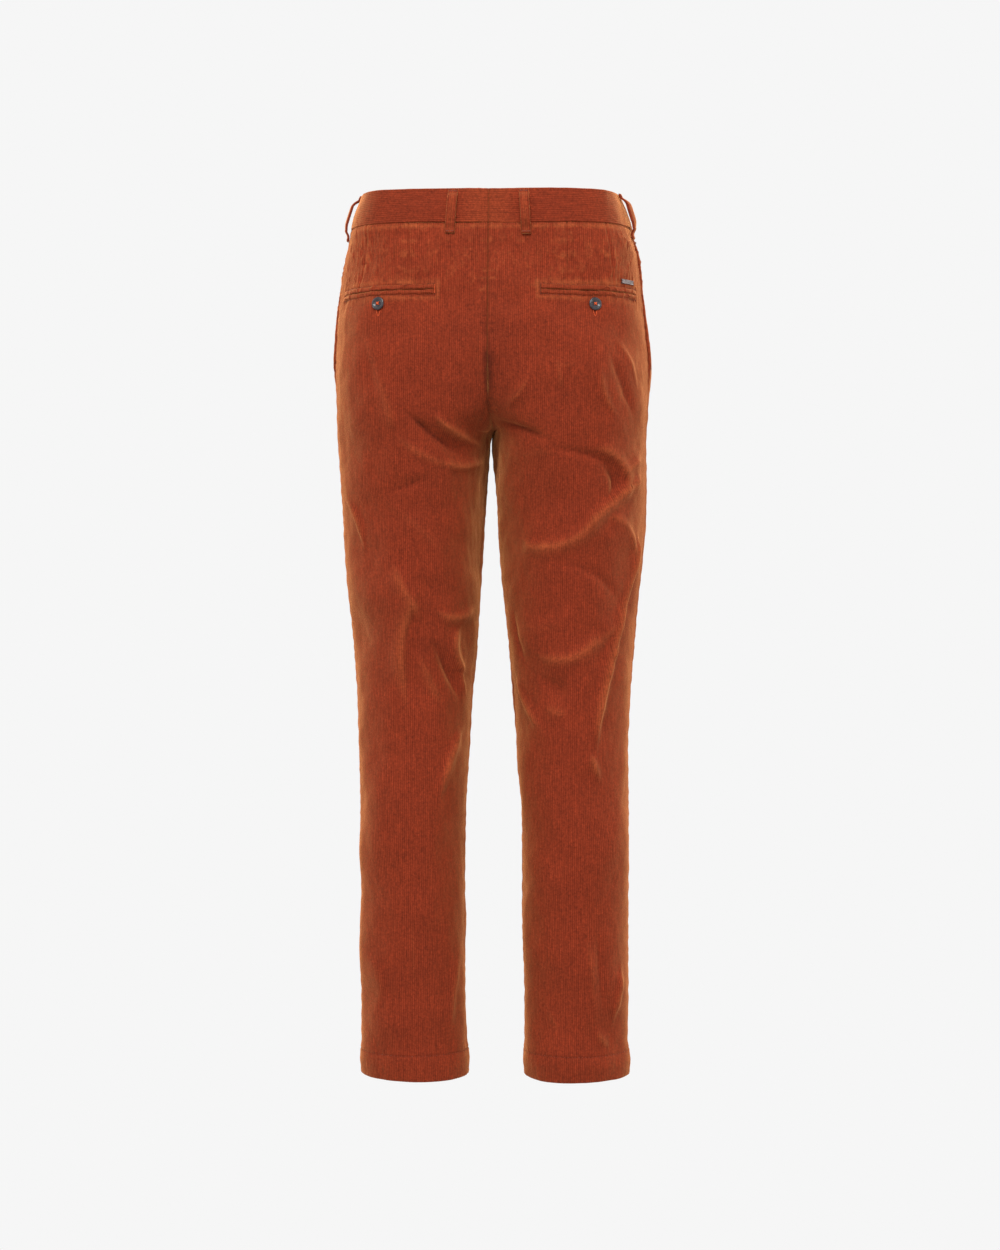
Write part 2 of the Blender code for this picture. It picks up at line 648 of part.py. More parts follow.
def pocket_welts(side):
    """The two lips of a back pocket, either side of the slit."""
    along_row, z_row = pocket_line(side, np.linspace(0.0, 1.0, WELT_COLUMNS + 1))
    across = np.array([0.0, 0.5, 1.0])[:, None] * WELT_WIDTH
    thickness = np.array([WELT_EDGE, 1.0, WELT_EDGE])[:, None] * WELT_WALL
    for name, way in (("upper", 1), ("lower", -1)):
        z = z_row[None, :] + way * (WELT_SLIT / 2 + across)
        along = np.broadcast_to(along_row[None, :], z.shape)
        full_name = "welt_" + name + "_" + SIDE_NAMES[side]
        wall_on_skin(full_name, side, along, z, -SEAM_GAP - thickness, thickness, CORDUROY)


def turned_disc(name):
    """A button blank with a rolled rim and a dished middle."""
    radius = BUTTON_WIDTH / 2
    half = BUTTON_THICK / 2
    profile = (
        (0.0, 0.18 * half),
        (0.50 * radius, 0.22 * half),
        (0.66 * radius, 0.90 * half),
        (0.84 * radius, half),
        (radius, 0.25 * half),
        (radius, -0.45 * half),
        (0.86 * radius, -half),
        (0.0, -half),
    )
    shape = bmesh.new()
    points = [shape.verts.new((x, 0.0, z)) for x, z in profile]
    edges = [shape.edges.new(pair) for pair in zip(points[:-1], points[1:])]
    bmesh.ops.spin(
        shape, geom=points + edges, angle=2 * math.pi, steps=BUTTON_STEPS,
        axis=(0, 0, 1), cent=(0, 0, 0),
    )
    bmesh.ops.remove_doubles(shape, verts=shape.verts[:], dist=0.00002)
    bmesh.ops.recalc_face_normals(shape, faces=shape.faces[:])
    mesh = bpy.data.meshes.new(name)
    shape.to_mesh(mesh)
    shape.free()
    mesh.shade_smooth()
    mesh.set_sharp_from_angle(angle=math.radians(40))
    return mesh


def hole_cutter(name):
    """Four thread holes as one hidden cutter."""
    shape = bmesh.new()
    for i in range(4):
        angle = math.radians(45 + 90 * i)
        place = (BUTTON_HOLE_OUT * math.cos(angle), BUTTON_HOLE_OUT * math.sin(angle), 0)
        bmesh.ops.create_cone(
            shape, cap_ends=True, segments=6, radius1=BUTTON_HOLE / 2,
            radius2=BUTTON_HOLE / 2, depth=3 * BUTTON_THICK, matrix=Matrix.Translation(place),
        )
    mesh = bpy.data.meshes.new(name)
    shape.to_mesh(mesh)
    shape.free()
    cutter = bpy.data.objects.new(name, mesh)
    cutter.hide_render = True
    cutter.display_type = "WIRE"
    bpy.context.scene.collection.objects.link(cutter)
    return cutter


def surface_frame(side, along, z, lift):
    """A place on the garment that much above its surface, turned to face outwards."""
    point = Vector(skin(side, [along], [z], [-lift])[0])
    normal = Vector(base_normal(side, np.array([along]), np.array([z]))[0])
    across = normal.cross(Vector((0.0, 0.0, 1.0))).normalized()
    upward = across.cross(normal) * -1
    turn = Matrix((across, upward, normal)).transposed()
    if turn.determinant() < 0:
        turn = Matrix((-across, upward, normal)).transposed()
    return Matrix.Translation(point) @ turn.to_4x4()


def button(name, side, along, z, lift):
    holes = hole_cutter(name + "_holes")
    placed = add_object(name, turned_disc(name), BUTTON_COLOUR)
    seat = surface_frame(side, along, z, lift + BUTTON_THICK / 2)
    for piece in (placed, holes):
        piece.matrix_world = seat
    cut = placed.modifiers.new("thread holes", "BOOLEAN")
    cut.operation = "DIFFERENCE"
    cut.solver = "EXACT"
    cut.object = holes


def back_buttons():
    for side in (LEFT, RIGHT):
        along, z = pocket_line(side, BUTTON_SHARE)
        button("button_" + SIDE_NAMES[side], side, along, z - BUTTON_DROP, BUTTON_LIFT)


def front_button():
    along = round_at_x(LEFT, FRONT_BUTTON_X, 0.0, on_back=False)
    button("button_front", LEFT, along, 0.0, BAND_PROUD + BUTTON_LIFT)


def plate():
    """The small bare plate above the right back pocket, notched at both ends."""
    middle, z_middle = pocket_line(RIGHT, PLATE_SHARE)
    across = np.linspace(-0.5, 0.5, 9)[None, :] * np.ones((3, 1))
    upward = np.array([-0.5, 0.0, 0.5])[:, None] * np.ones((1, 9))
    notch = np.where(np.abs(across) > 0.45, PLATE_NOTCH * (1 - 2 * np.abs(upward)), 0.0)
    along = middle + across * PLATE_LENGTH - np.sign(across) * notch
    z = z_middle + PLATE_RISE + upward * PLATE_HEIGHT - 0.0006 * across
    wall_on_skin(
        "plate", RIGHT, along, z, -SEAM_GAP - PLATE_WALL, PLATE_WALL, PLATE_COLOUR
    )


def main():
    for old in list(bpy.data.objects):
        bpy.data.objects.remove(old, do_unlink=True)
    for side in (LEFT, RIGHT):
        back_panel(side)
        front_panel(side)
        pocket_facing(side)
        waistband(side)
        pocket_welts(side)
    fly_shield()
    belt_loops()
    back_buttons()
    front_button()
    plate()


main()
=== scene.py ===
"""The cloth, trims and stitching of tapered corduroy trousers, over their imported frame.

Metres, +Z up, apart from the tables that say millimetres. The origin is the middle of the
waist opening, halfway up the waistband. The front of the garment faces -Y and the wearer's
left is +X.

Each leg is a stack of level rings that start at the centre back seam, or at the inseam below
the crotch, and run over the seat, past the outer side and back along the front. A place on the
garment is a distance round its ring and a height.
"""

import math
from collections import namedtuple

import bmesh
import bpy
import numpy as np
from mathutils import Matrix, Vector


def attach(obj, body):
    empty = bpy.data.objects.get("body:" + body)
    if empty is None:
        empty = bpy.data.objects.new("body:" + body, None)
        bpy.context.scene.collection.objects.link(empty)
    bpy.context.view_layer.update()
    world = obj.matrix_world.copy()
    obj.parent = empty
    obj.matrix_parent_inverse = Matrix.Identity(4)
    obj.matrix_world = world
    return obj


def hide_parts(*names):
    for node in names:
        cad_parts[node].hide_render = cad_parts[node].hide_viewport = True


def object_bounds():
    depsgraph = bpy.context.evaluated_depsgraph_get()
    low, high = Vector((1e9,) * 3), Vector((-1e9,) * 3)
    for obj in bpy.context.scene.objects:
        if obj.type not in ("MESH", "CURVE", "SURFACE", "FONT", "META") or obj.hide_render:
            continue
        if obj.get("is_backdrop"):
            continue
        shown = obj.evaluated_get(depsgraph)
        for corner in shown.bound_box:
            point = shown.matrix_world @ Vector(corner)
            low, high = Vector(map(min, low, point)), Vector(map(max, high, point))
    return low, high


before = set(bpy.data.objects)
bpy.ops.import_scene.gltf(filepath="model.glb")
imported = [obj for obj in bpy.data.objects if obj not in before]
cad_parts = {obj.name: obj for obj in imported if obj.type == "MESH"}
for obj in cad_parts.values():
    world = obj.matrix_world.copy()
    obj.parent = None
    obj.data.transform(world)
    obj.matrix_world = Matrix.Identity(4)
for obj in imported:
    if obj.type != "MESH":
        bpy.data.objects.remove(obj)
FRAME_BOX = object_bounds()

bl_info = {
    "name": "Corduroy trousers",
    "version": (1, 0, 0),
    "blender": (4, 5, 0),
    "location": "3D View > Sidebar > Trousers",
    "description": "Dresses a pair of trousers in corduroy, with its trims and stitching",
    "category": "Add Mesh",
}

# Lengths down the garment
BAND_HEIGHT = 0.040
OUTSEAM = 1.024
BAND_TOP = BAND_HEIGHT / 2
BAND_FOOT = -BAND_HEIGHT / 2
HEM = BAND_TOP - OUTSEAM
HEM_DEPTH = 0.030
HEM_SLANT = 0.010
HEM_SLANT_RUN = 0.160
CROTCH = -0.252
CROTCH_Y = -0.010
CROTCH_ARCH = 0.014
CROTCH_SOFT = 0.014
CROTCH_REACH = 0.045
SEAT_START = -0.100
ROUND_START = -0.110
SEAT_FALL = 3.2
FRONT_FALL = 3.0
FLY_FOOT = -0.190
MOUTH_FOOT = -0.185

# Cloth
CLOTH = 0.0014
HEM_FOLD = 0.0012
BAND_WALL = 0.0030
BAND_PROUD = 0.0008
SEAM_GAP = 0.0003
SEWN_GAP = 0.00003
PANEL_TOP = BAND_FOOT - SEWN_GAP
EDGE_GAP = 0.00002
CORD_RISE = 0.0016
STITCH_LIFT = 0.00045
SEAM_EASE = 0.018
INSEAM_EASE = 0.050
SIDE_EASE = 0.045

# Waistband, fly and slanted front pockets
BAND_LAP = 0.036
LAP_STEP = 0.0034
LAP_RUN = 0.030
FLY_LAP = 0.038
FLY_BACK = 0.012
FLY_DEPTH = CLOTH + 0.0008
FLY_CORNER = 8
FLY_FOOT_SHARE = 0.45
FLY_STITCH = 0.032
FLY_CURVE_HEIGHT = 0.040
FLY_WALL = CLOTH - 0.0002
FLY_LAYERS = 0.0006
MOUTH_WIDTH = 0.042
MOUTH_STITCH = 0.0065
FACING_TUCK = 0.016
FACING_DEPTH = CLOTH + 0.0009
FACING_WALL = CLOTH - 0.0003
MOUTH_STAND = 0.003
MOUTH_STAND_RUN = 0.16
FACING_BELOW = 0.012
FACING_ABOVE = 0.0035
FACING_FLUSH_RUN = 0.014

# Belt loops
LOOP_WIDTH = 0.011
LOOP_WALL = 0.0021
LOOP_TOP = BAND_TOP - 0.0008
LOOP_FOOT = -0.0335
LOOP_ROOM = 0.0062
LOOP_CROWN = 0.0006
BACK_LOOP_X = 0.0415
FRONT_LOOP_X = 0.083

# Back pockets
WELT_WIDTH = 0.0052
WELT_SLIT = 0.0009
WELT_ROLL = 0.0014
WELT_INNER_X = 0.0605
WELT_LENGTH = 0.131
WELT_Z = -0.0965
WELT_DROP = 0.003
POCKET_HALF = WELT_SLIT / 2 + WELT_WIDTH

# Buttons and the bare metal plate
BUTTON_WIDTH = 0.015
BUTTON_THICK = 0.0030
BUTTON_HOLE = 0.0016
BUTTON_HOLE_OUT = 0.0021
BUTTON_SHARE = 0.488
BUTTON_DROP = 0.0152
BUTTON_LIFT = 0.0009
BUTTON_DENT = 0.0007
BUTTON_DENT_WIDTH = 0.009
FRONT_BUTTON_X = 0.016
PLATE_LENGTH = 0.026
PLATE_HEIGHT = 0.0052
PLATE_WALL = 0.0009
PLATE_SHARE = 0.85
PLATE_RISE = 0.0128
PLATE_NOTCH = 0.0012

# How finely each shape is drawn
QUARTER_STEPS = 60
FORM_STEP = 0.002
FORM_MARGIN = 100
SEARCH_STEPS = 9
SLOPE_REACH = 0.004
NEARBY = 0.003
COLUMNS_PER_WALE = 3
BACK_ROWS = 268
FRONT_ROWS = 198
INSIDE_COLUMNS = 26

# Stage
LIT_MIDDLE = (0.0, 0.0, -0.45)
CAMERA_LENS = 98.46
CAMERA_HEIGHT = -0.478
CAMERA_ASIDE = 0.0076
FLOOR_GAP = 0.004
FLOOR_RADIUS = 11.0
DOME_RADIUS = 11.5

LEFT = 1
RIGHT = -1
SIDE_NAMES = {LEFT: "left", RIGHT: "right"}
SIDE_LOOP_TWIST = {LEFT: 0.14, RIGHT: 0.30}
SIDE_LOOP_BEHIND = {LEFT: 0.003, RIGHT: 0.010}


def in_metres(kind, *rows):
    """The rows of a table in millimetres, with their values in metres."""
    return [kind(*(number / 1000 for number in row)) for row in rows]


# The garment's outline at each height, in millimetres: how far each leg reaches from the
# middle, on its outer and inner side, and how far its back and front stand from the middle.
Section = namedtuple("Section", "z out_left in_left out_right in_right back front")
SECTIONS = in_metres(
    Section,
    (20, 150, 5, 147, -2, 104, -104),
    (-20, 163, 5, 160, -2, 111, -109),
    (-55, 171.5, 5, 169, -2, 118, -113),
    (-95, 178, 5, 175, -2, 125, -116),
    (-140, 181, 5, 179, -2, 131, -117),
    (-180, 182.5, 5, 182.5, -2, 133, -116),
    (-220, 181.5, 5, 182, -2, 130, -114),
    (-262, 180.5, 5, 178.5, -2, 121, -112),
    (-325, 176.5, 9, 179, 4, 109, -108),
    (-410, 172, 14, 172.5, 9, 97, -100),
    (-493, 164, 19, 165, 18, 87, -89),
    (-560, 158.5, 25, 159, 23, 81, -78),
    (-620, 156, 28, 156.5, 29, 82, -67),
    (-700, 155, 32, 158, 35, 85, -53),
    (-790, 153.5, 33, 157.5, 35, 83, -43),
    (-915, 152.5, 32, 157, 38, 77, -33),
    (-957, 152, 30, 156.5, 38, 74.5, -31),
    (-985, 153.5, 28, 159.5, 37, 77, -33),
    (-1004, 152, 29, 157.5, 39, 75, -31),
)

# How the ring is drawn at each height: where the back-most and front-most points lie between
# the inner and outer side, how square its corners are, and where the side seam runs.
Shape = namedtuple("Shape", "z back_share front_share square_back square_front seam_y")
SHAPES = (
    Shape(0.020, 0.46, 0.28, 3.30, 2.25, 0.030),
    Shape(-0.040, 0.44, 0.30, 2.75, 2.25, 0.036),
    Shape(-0.100, 0.45, 0.34, 2.40, 2.25, 0.040),
    Shape(-0.200, 0.47, 0.42, 2.25, 2.20, 0.034),
    Shape(-0.300, 0.50, 0.48, 2.15, 2.15, 0.014),
    Shape(-0.560, 0.50, 0.50, 2.05, 2.05, 0.004),
    Shape(-1.004, 0.50, 0.50, 2.00, 2.00, 0.022),
)

# Folds in the cloth, in millimetres. Each is a soft ridge, or a trough where its height is
# negative, through three points given by their distance out from the middle and their height.
# It falls away over one width on its upper side and another on its lower side.
Fold = namedtuple("Fold", "x1 z1 x2 z2 x3 z3 height upper lower")
LEFT_BACK_FOLDS = in_metres(
    Fold,
    (127, -179, 114, -228, 105, -262, 2, 5, 8),
    (65, -236, 41, -255, 8, -274, 5, 4, 7),
    (111, -256, 80, -281, 45, -295, 2, 5, 6),
    (47, -294, 29, -295, 10, -285, 4, 4, 5),
    (104, -226, 65, -260, 25, -286, -4.5, 5, 6),
    (10, -116, 8, -178, 6, -231, 1.8, 3.5, 3.5),
    (41, -161, 34, -176, 27, -191, 1.2, 4, 4),
    (167, -330, 153, -357, 146, -394, 4, 4, 4),
    (124, -324, 95, -321, 66, -304, -2.8, 6, 5),
    (124, -332, 78, -370, 51, -403, 1.6, 8, 8),
    (139, -154, 134, -190, 125, -222, -1.5, 7, 7),
    (111, -401, 98, -432, 85, -457, 3.8, 10, 4),
    (87, -456, 100, -512, 90, -593, 4.4, 11, 3.5),
    (68, -456, 41, -469, 16, -452, 5, 4, 8),
    (96, -417, 57, -440, 27, -438, -3, 12, 9),
    (30, -475, 42, -498, 35, -528, 4.5, 4, 7),
    (35, -528, 33, -544, 30, -562, 3, 4, 4),
    (83, -501, 69, -543, 54, -575, 2.6, 9, 4),
    (70, -486, 50, -528, 35, -567, -4.5, 8, 6),
    (28, -591, 49, -631, 60, -693, 4.5, 4.5, 8),
    (145, -860, 127, -889, 139, -935, 1.8, 7, 7),
    (36, -849, 44, -899, 47, -952, 2.5, 4.5, 4.5),
    (90, -799, 88, -851, 85, -920, 0.8, 3, 3),
    (147, -74, 109, -72, 65, -75, 1.5, 6, 6),
    (133, -29, 95, -35, 54, -40, -1.2, 5, 5),
)
RIGHT_BACK_FOLDS = in_metres(
    Fold,
    (21, -231, 37, -213, 52, -189, 3.2, 4, 4),
    (80, -181, 83, -199, 85, -215, 1.4, 4, 4),
    (82, -185, 94, -183, 107, -181, 1, 4, 4),
    (136, -164, 151, -202, 163, -243, -4, 7, 7),
    (128, -180, 131, -214, 150, -247, 2.5, 4, 4),
    (139, -151, 157, -171, 167, -212, 2.2, 4, 4),
    (2, -242, 41, -255, 77, -272, -3.5, 4, 6),
    (23, -290, 55, -282, 93, -283, 1.2, 7, 6),
    (58, -278, 115, -285, 151, -305, -3.2, 3.5, 3.5),
    (116, -276, 140, -284, 154, -303, 4, 8, 3.5),
    (154, -301, 164, -294, 173, -284, 3, 4, 4),
    (154, -303, 157, -313, 154, -324, 3.5, 8, 3.5),
    (173, -306, 164, -317, 151, -327, 4, 4, 6),
    (156, -322, 138, -339, 119, -355, 5.5, 3.5, 9),
    (120, -354, 97, -379, 64, -387, 5.5, 3.5, 10),
    (66, -387, 52, -388, 37, -380, 3.5, 4, 8),
    (118, -286, 144, -313, 131, -339, -4.5, 8, 5),
    (126, -355, 151, -360, 163, -393, 3, 4, 6),
    (67, -407, 119, -420, 151, -456, -3, 8, 4),
    (166, -389, 158, -438, 139, -512, 5.5, 3.5, 7),
    (140, -509, 127, -564, 122, -628, 6, 3.5, 6),
    (45, -507, 86, -517, 120, -497, 4.2, 6, 8),
    (118, -499, 135, -488, 150, -470, 2.2, 8, 7),
    (36, -470, 63, -481, 103, -468, 1.4, 9, 9),
    (51, -537, 75, -550, 92, -559, -3.5, 9, 9),
    (61, -568, 76, -578, 94, -578, 2.8, 7, 7),
    (27, -533, 40, -569, 71, -612, 4, 5, 4),
    (26, -455, 33, -495, 43, -528, -2.5, 5, 5),
    (115, -623, 120, -640, 129, -659, 3.8, 4.5, 5),
    (82, -633, 101, -650, 115, -661, -1.5, 7, 7),
    (127, -822, 125, -868, 132, -934, -2.8, 6, 6),
    (109, -827, 117, -873, 120, -931, 1.5, 5, 5),
    (150, -864, 145, -904, 140, -941, 3.5, 3.5, 3.5),
    (124, -941, 129, -955, 141, -963, 3, 4, 4),
    (65, -918, 72, -934, 80, -950, 1.2, 4, 4),
    (68, -78, 99, -76, 127, -73, 1.2, 6, 6),
    (5, -87, 25, -110, 48, -127, -1.5, 8, 8),
)
FRONT_FOLDS = in_metres(
    Fold,
    (4, -236, 46, -246, 98, -228, 4, 8, 11),
    (6, -266, 56, -284, 112, -272, 4.2, 8, 12),
    (30, -300, 78, -312, 140, -294, -3, 9, 11),
    (12, -212, 40, -214, 72, -196, 2.5, 6, 8),
    (60, -205, 104, -196, 142, -176, 2.5, 8, 10),
    (36, -345, 72, -362, 124, -352, 2.2, 9, 12),
    (148, -330, 140, -390, 126, -440, 2.5, 8, 8),
    (44, -520, 80, -536, 128, -518, 3.2, 9, 12),
    (46, -560, 82, -570, 122, -556, -3, 10, 12),
    (140, -560, 105, -590, 56, -584, 3, 8, 10),
    (126, -430, 116, -530, 112, -620, 3.5, 9, 9),
    (110, -640, 104, -740, 100, -830, 2.2, 9, 9),
    (60, -660, 64, -720, 58, -780, 2, 8, 8),
    (60, -930, 92, -940, 126, -928, 2, 7, 9),
)
FOLD_STEPS = 14
FOLD_FADE = 0.40
FOLD_SHARP = 1.15
FOLD_CREST = 0.0012
FOLD_STRENGTH = 1.3
FOLD_JOIN = 0.006
# The tint of a fold is its painted light: painted highlight along a ridge, painted shade along a
# trough.
FOLD_TINT = 0.0045
FOLD_TINT_SHARE = 0.7
FOLD_NARROW = 0.0055
FOLD_BLEND = 3

# Sewn-in darts of the back: the wearer's side, and the line each follows down from the band.
Dart = namedtuple("Dart", "side x1 z1 x2 z2")
DARTS = (
    Dart(LEFT, 0.0903, -0.0200, 0.0905, -0.0860),
    Dart(LEFT, 0.1400, -0.0200, 0.1494, -0.0900),
    Dart(RIGHT, 0.0895, -0.0200, 0.0905, -0.0880),
    Dart(RIGHT, 0.1320, -0.0200, 0.1417, -0.0880),
)
DART_DEPTH = 0.0009
DART_WIDTH = 0.0011
DART_SHOULDER = 0.0004

# Seams: a groove with a soft shoulder on both sides, and small puckers beside it
GROOVE_DEPTH = 0.0011
GROOVE_WIDTH = 0.0014
SHOULDER_LIFT = 0.0005
SHOULDER_OUT = 0.0042
SHOULDER_WIDTH = 0.0022
PUCKER_LIFT = 0.00026
PUCKER_REACH = 0.010
TICK_LIFT = 0.00085
# Painted light on the puckers beside the centre seam: painted highlight on their crests, painted
# shade between them.
TICK_PAINTED_LIGHT = 0.75
DART_GATHER = 0.00045
# Painted highlight on the crests of the gathers beside the darts.
DART_PAINTED_LIGHT = 0.55
TICK_REACH = 0.0085
CLEFT_FILL = 0.0030
BAND_RIDGE = 0.0006
HEM_GROOVE = 0.0007
HEM_GROOVE_WIDTH = 0.0011
HEM_PUFF = 0.0008
EDGE_TUCK = 0.0008
EDGE_RUN = 0.0016

# Unevenness of worn cloth, as slow waves and short cockles of seeded direction
CRUMPLE_SEED = 11
COCKLES = 20
COCKLE_LIFT = 0.00056
COCKLE_SHORT = 0.011
COCKLE_LONG = 0.034
COCKLE_REST = 0.22
COCKLE_CREASE = 0.4
CRUMPLES = 26
CRUMPLE_LIFT = 0.0011
CRUMPLE_SHORT = 0.040
CRUMPLE_LONG = 0.200

# Belt loop from its top fold to its lower end: what it is sewn on, and the share of its full
# room that it stands off.
ON_BAND = BAND_PROUD + SEAM_GAP
ON_PANEL = SEAM_GAP
LoopStep = namedtuple("LoopStep", "z sewn_on stand")
LOOP_PATH = (
    LoopStep(LOOP_TOP, ON_BAND, 0.0),
    LoopStep(0.0140, ON_BAND, 0.0),
    LoopStep(0.0105, ON_BAND, 0.6),
    LoopStep(0.0060, ON_BAND, 1.0),
    LoopStep(-0.0150, ON_BAND, 1.0),
    LoopStep(-0.0205, ON_BAND, 0.8),
    LoopStep(-0.0265, ON_PANEL, 0.1),
    LoopStep(LOOP_FOOT, ON_PANEL, 0.0),
)

# Where the lengthwise grain of each panel runs, out from the middle
GRAIN_BACK = {LEFT: 0.091, RIGHT: 0.095}
GRAIN_FRONT = {LEFT: 0.092, RIGHT: 0.092}


def screen_colour(red, green, blue):
    """A colour from its 0 to 255 screen values, as linear light."""
    share = np.array((red, green, blue)) / 255
    return tuple(np.where(share <= 0.04045, share / 12.92, ((share + 0.055) / 1.055) ** 2.4))


def length_property(name, description, default, low, high, precision):
    return bpy.props.FloatProperty(
        name=name, description=description, default=default, min=low, max=high,
        precision=precision, unit="LENGTH",
    )


def power_property(name, description, default, high):
    return bpy.props.FloatProperty(
        name=name, description=description, default=default, min=0.0, max=high, unit="POWER",
    )


def colour_property(name, description, red, green, blue):
    return bpy.props.FloatVectorProperty(
        name=name, description=description, default=screen_colour(red, green, blue),
        min=0.0, max=1.0, subtype="COLOR",
    )


class TrousersCloth(bpy.types.PropertyGroup):
    """Sizes and colours of the corduroy."""

    wale_pitch: length_property(
        "Wale pitch", "From one cord of the cloth to the next", 0.0022, 0.0015, 0.006, 4,
    )
    wale_height: length_property(
        "Wale height", "How far a cord stands up from the ground cloth", 0.00036, 0, 0.0015, 5,
    )
    crest_colour: colour_property("Crest colour", "Pile on the top of a cord", 127, 45, 22)
    # Besides the ground between cords, this colour darkens the seams and is laid as painted shade
    # in fold troughs, the seat's cleft, pocket slits and the edges of loops and pocket lips.
    groove_colour: colour_property(
        "Groove colour", "Ground cloth between two cords", 103, 35, 17,
    )
    # Painted highlight: this golden colour is laid on fold ridges, cockles, puckers and turned
    # edges where they catch the light.
    painted_highlight_colour: colour_property(
        "Worn colour", "Pile that is brushed up along a fold or an edge", 168, 88, 48,
    )
    inside_colour: colour_property("Inside colour", "Smooth reverse of the cloth", 122, 58, 40)


class TrousersTrims(bpy.types.PropertyGroup):
    """Sizes and colours of the thread, buttons and plate."""

    stitch_length: length_property(
        "Stitch length", "Length of one stitch of the seams", 0.0026, 0.001, 0.008, 4,
    )
    thread_width: length_property(
        "Thread width", "Thickness of the sewing thread", 0.00042, 0.0001, 0.002, 5,
    )
    seam_thread: colour_property("Seam thread", "Thread that matches the cloth", 120, 50, 32)
    bright_thread: colour_property(
        "Bright thread", "Thread of the buttons, buttonholes and pocket tack", 214, 84, 34,
    )
    button_colour: colour_property("Button colour", "Horn-like body of the buttons", 50, 45, 49)
    plate_colour: colour_property(
        "Plate colour", "Metal of the plate above the pocket", 118, 108, 106,
    )


class TrousersStage(bpy.types.PropertyGroup):
    """Floor, light and camera."""

    pale: colour_property(
        "Backdrop colour", "Floor and backdrop as the camera sees them", 246, 246, 246,
    )
    fill: bpy.props.FloatProperty(
        name="Fill light", description="Light that the pale surroundings give the garment",
        default=0.8, min=0.0, max=3.0,
    )
    key_power: power_property(
        "Overhead light", "Power of the large light above the camera", 298.0, 900.0,
    )
    side_power: power_property(
        "Side lights", "Power of each tall light beside the garment", 16.0, 500.0,
    )
    distance: length_property(
        "Camera distance", "From the camera to the middle of the garment", 4.0, 1.0, 10.0, 2,
    )
    turn: bpy.props.FloatProperty(
        name="Camera turn", description="How far the camera stands round from straight behind",
        default=math.radians(3.0), unit="ROTATION",
    )


def cloth():
    return bpy.context.scene.trousers_cloth


def trims():
    return bpy.context.scene.trousers_trims


# ---- The garment's form ----


def ease(share):
    """0 to 1 with a soft start and a soft end."""
    held = np.clip(share, 0.0, 1.0)
    return held * held * (3.0 - 2.0 * held)


def mix(start, end, share):
    return start + (end - start) * share


def bump(distance, width, power=2.0):
    """1 at no distance, falling softly away over the width."""
    return np.exp(-((np.abs(distance) / width) ** power))


def matched(along, z):
    """Distances and heights as arrays of one shape."""
    return np.broadcast_arrays(np.asarray(along, float), np.asarray(z, float))


def column(rows, name):
    """A table's column as a smooth function of height that never overshoots a row."""
    ordered = sorted(rows, key=lambda row: row.z)
    heights = np.array([row.z for row in ordered])
    values = np.array([getattr(row, name) for row in ordered])
    run = np.diff(heights)
    slope = np.diff(values) / run
    steepness = slope[:-1] * slope[1:]
    total = slope[:-1] + slope[1:]
    inner = np.where(steepness > 0, 2 * steepness / np.where(steepness > 0, total, 1), 0)
    slopes = np.concatenate([slope[:1], inner, slope[-1:]])

    def value(z):
        i = np.clip(np.searchsorted(heights, z) - 1, 0, len(run) - 1)
        t = (z - heights[i]) / run[i]
        rise = values[i + 1] - values[i]
        bend_in = slopes[i] * run[i] - rise
        bend_out = slopes[i + 1] * run[i] - rise
        return values[i] + rise * t + t * (1 - t) * (bend_in * (1 - t) - bend_out * t)

    return value


OUTER = {LEFT: column(SECTIONS, "out_left"), RIGHT: column(SECTIONS, "out_right")}
INNER = {LEFT: column(SECTIONS, "in_left"), RIGHT: column(SECTIONS, "in_right")}
BACK = column(SECTIONS, "back")
FRONT = column(SECTIONS, "front")
BACK_SHARE = column(SHAPES, "back_share")
FRONT_SHARE = column(SHAPES, "front_share")
SQUARE_BACK = column(SHAPES, "square_back")
SQUARE_FRONT = column(SHAPES, "square_front")
SEAM_Y = column(SHAPES, "seam_y")


def inner_reach(side, z):
    """The distance from the middle to the inseam, which is 0 from the crotch up."""
    opening = np.clip((CROTCH - z) / CROTCH_ARCH, 0.0, 1.0)
    return INNER[side](z) * np.sqrt(opening)


def centre_y(z, outermost, power):
    """Where the centre seam or the inseam stands: a U from the seat down to the crotch."""
    middle = (BACK(z) + FRONT(z)) / 2
    inseam = mix(CROTCH_Y, middle, ease((CROTCH - z) / 0.20))
    down = np.clip((SEAT_START - z) / (SEAT_START - CROTCH), 0.0, 1.0)
    return inseam + (outermost - inseam) * (1 - down**power) ** (1 / power)


def inner_quarter(steps, tip, end, roundness):
    """From a ring's back-most or front-most point to the centre seam. It runs flat across the
    seat and turns in round towards the crotch."""
    angle = steps * math.pi / 2
    across = mix(steps, np.sin(angle), roundness)
    down = mix(ease(steps), 1 - np.cos(angle), roundness)
    return mix(tip[0], end[0], across), mix(tip[1], end[1], down)


def outer_quarter(steps, tip, side, square):
    """From a ring's back-most or front-most point to its widest point."""
    angle = steps * math.pi / 2
    x = tip[0] + (side[0] - tip[0]) * np.sin(angle) ** (2 / square)
    y = side[1] + (tip[1] - side[1]) * np.cos(angle) ** (2 / square)
    return x, y


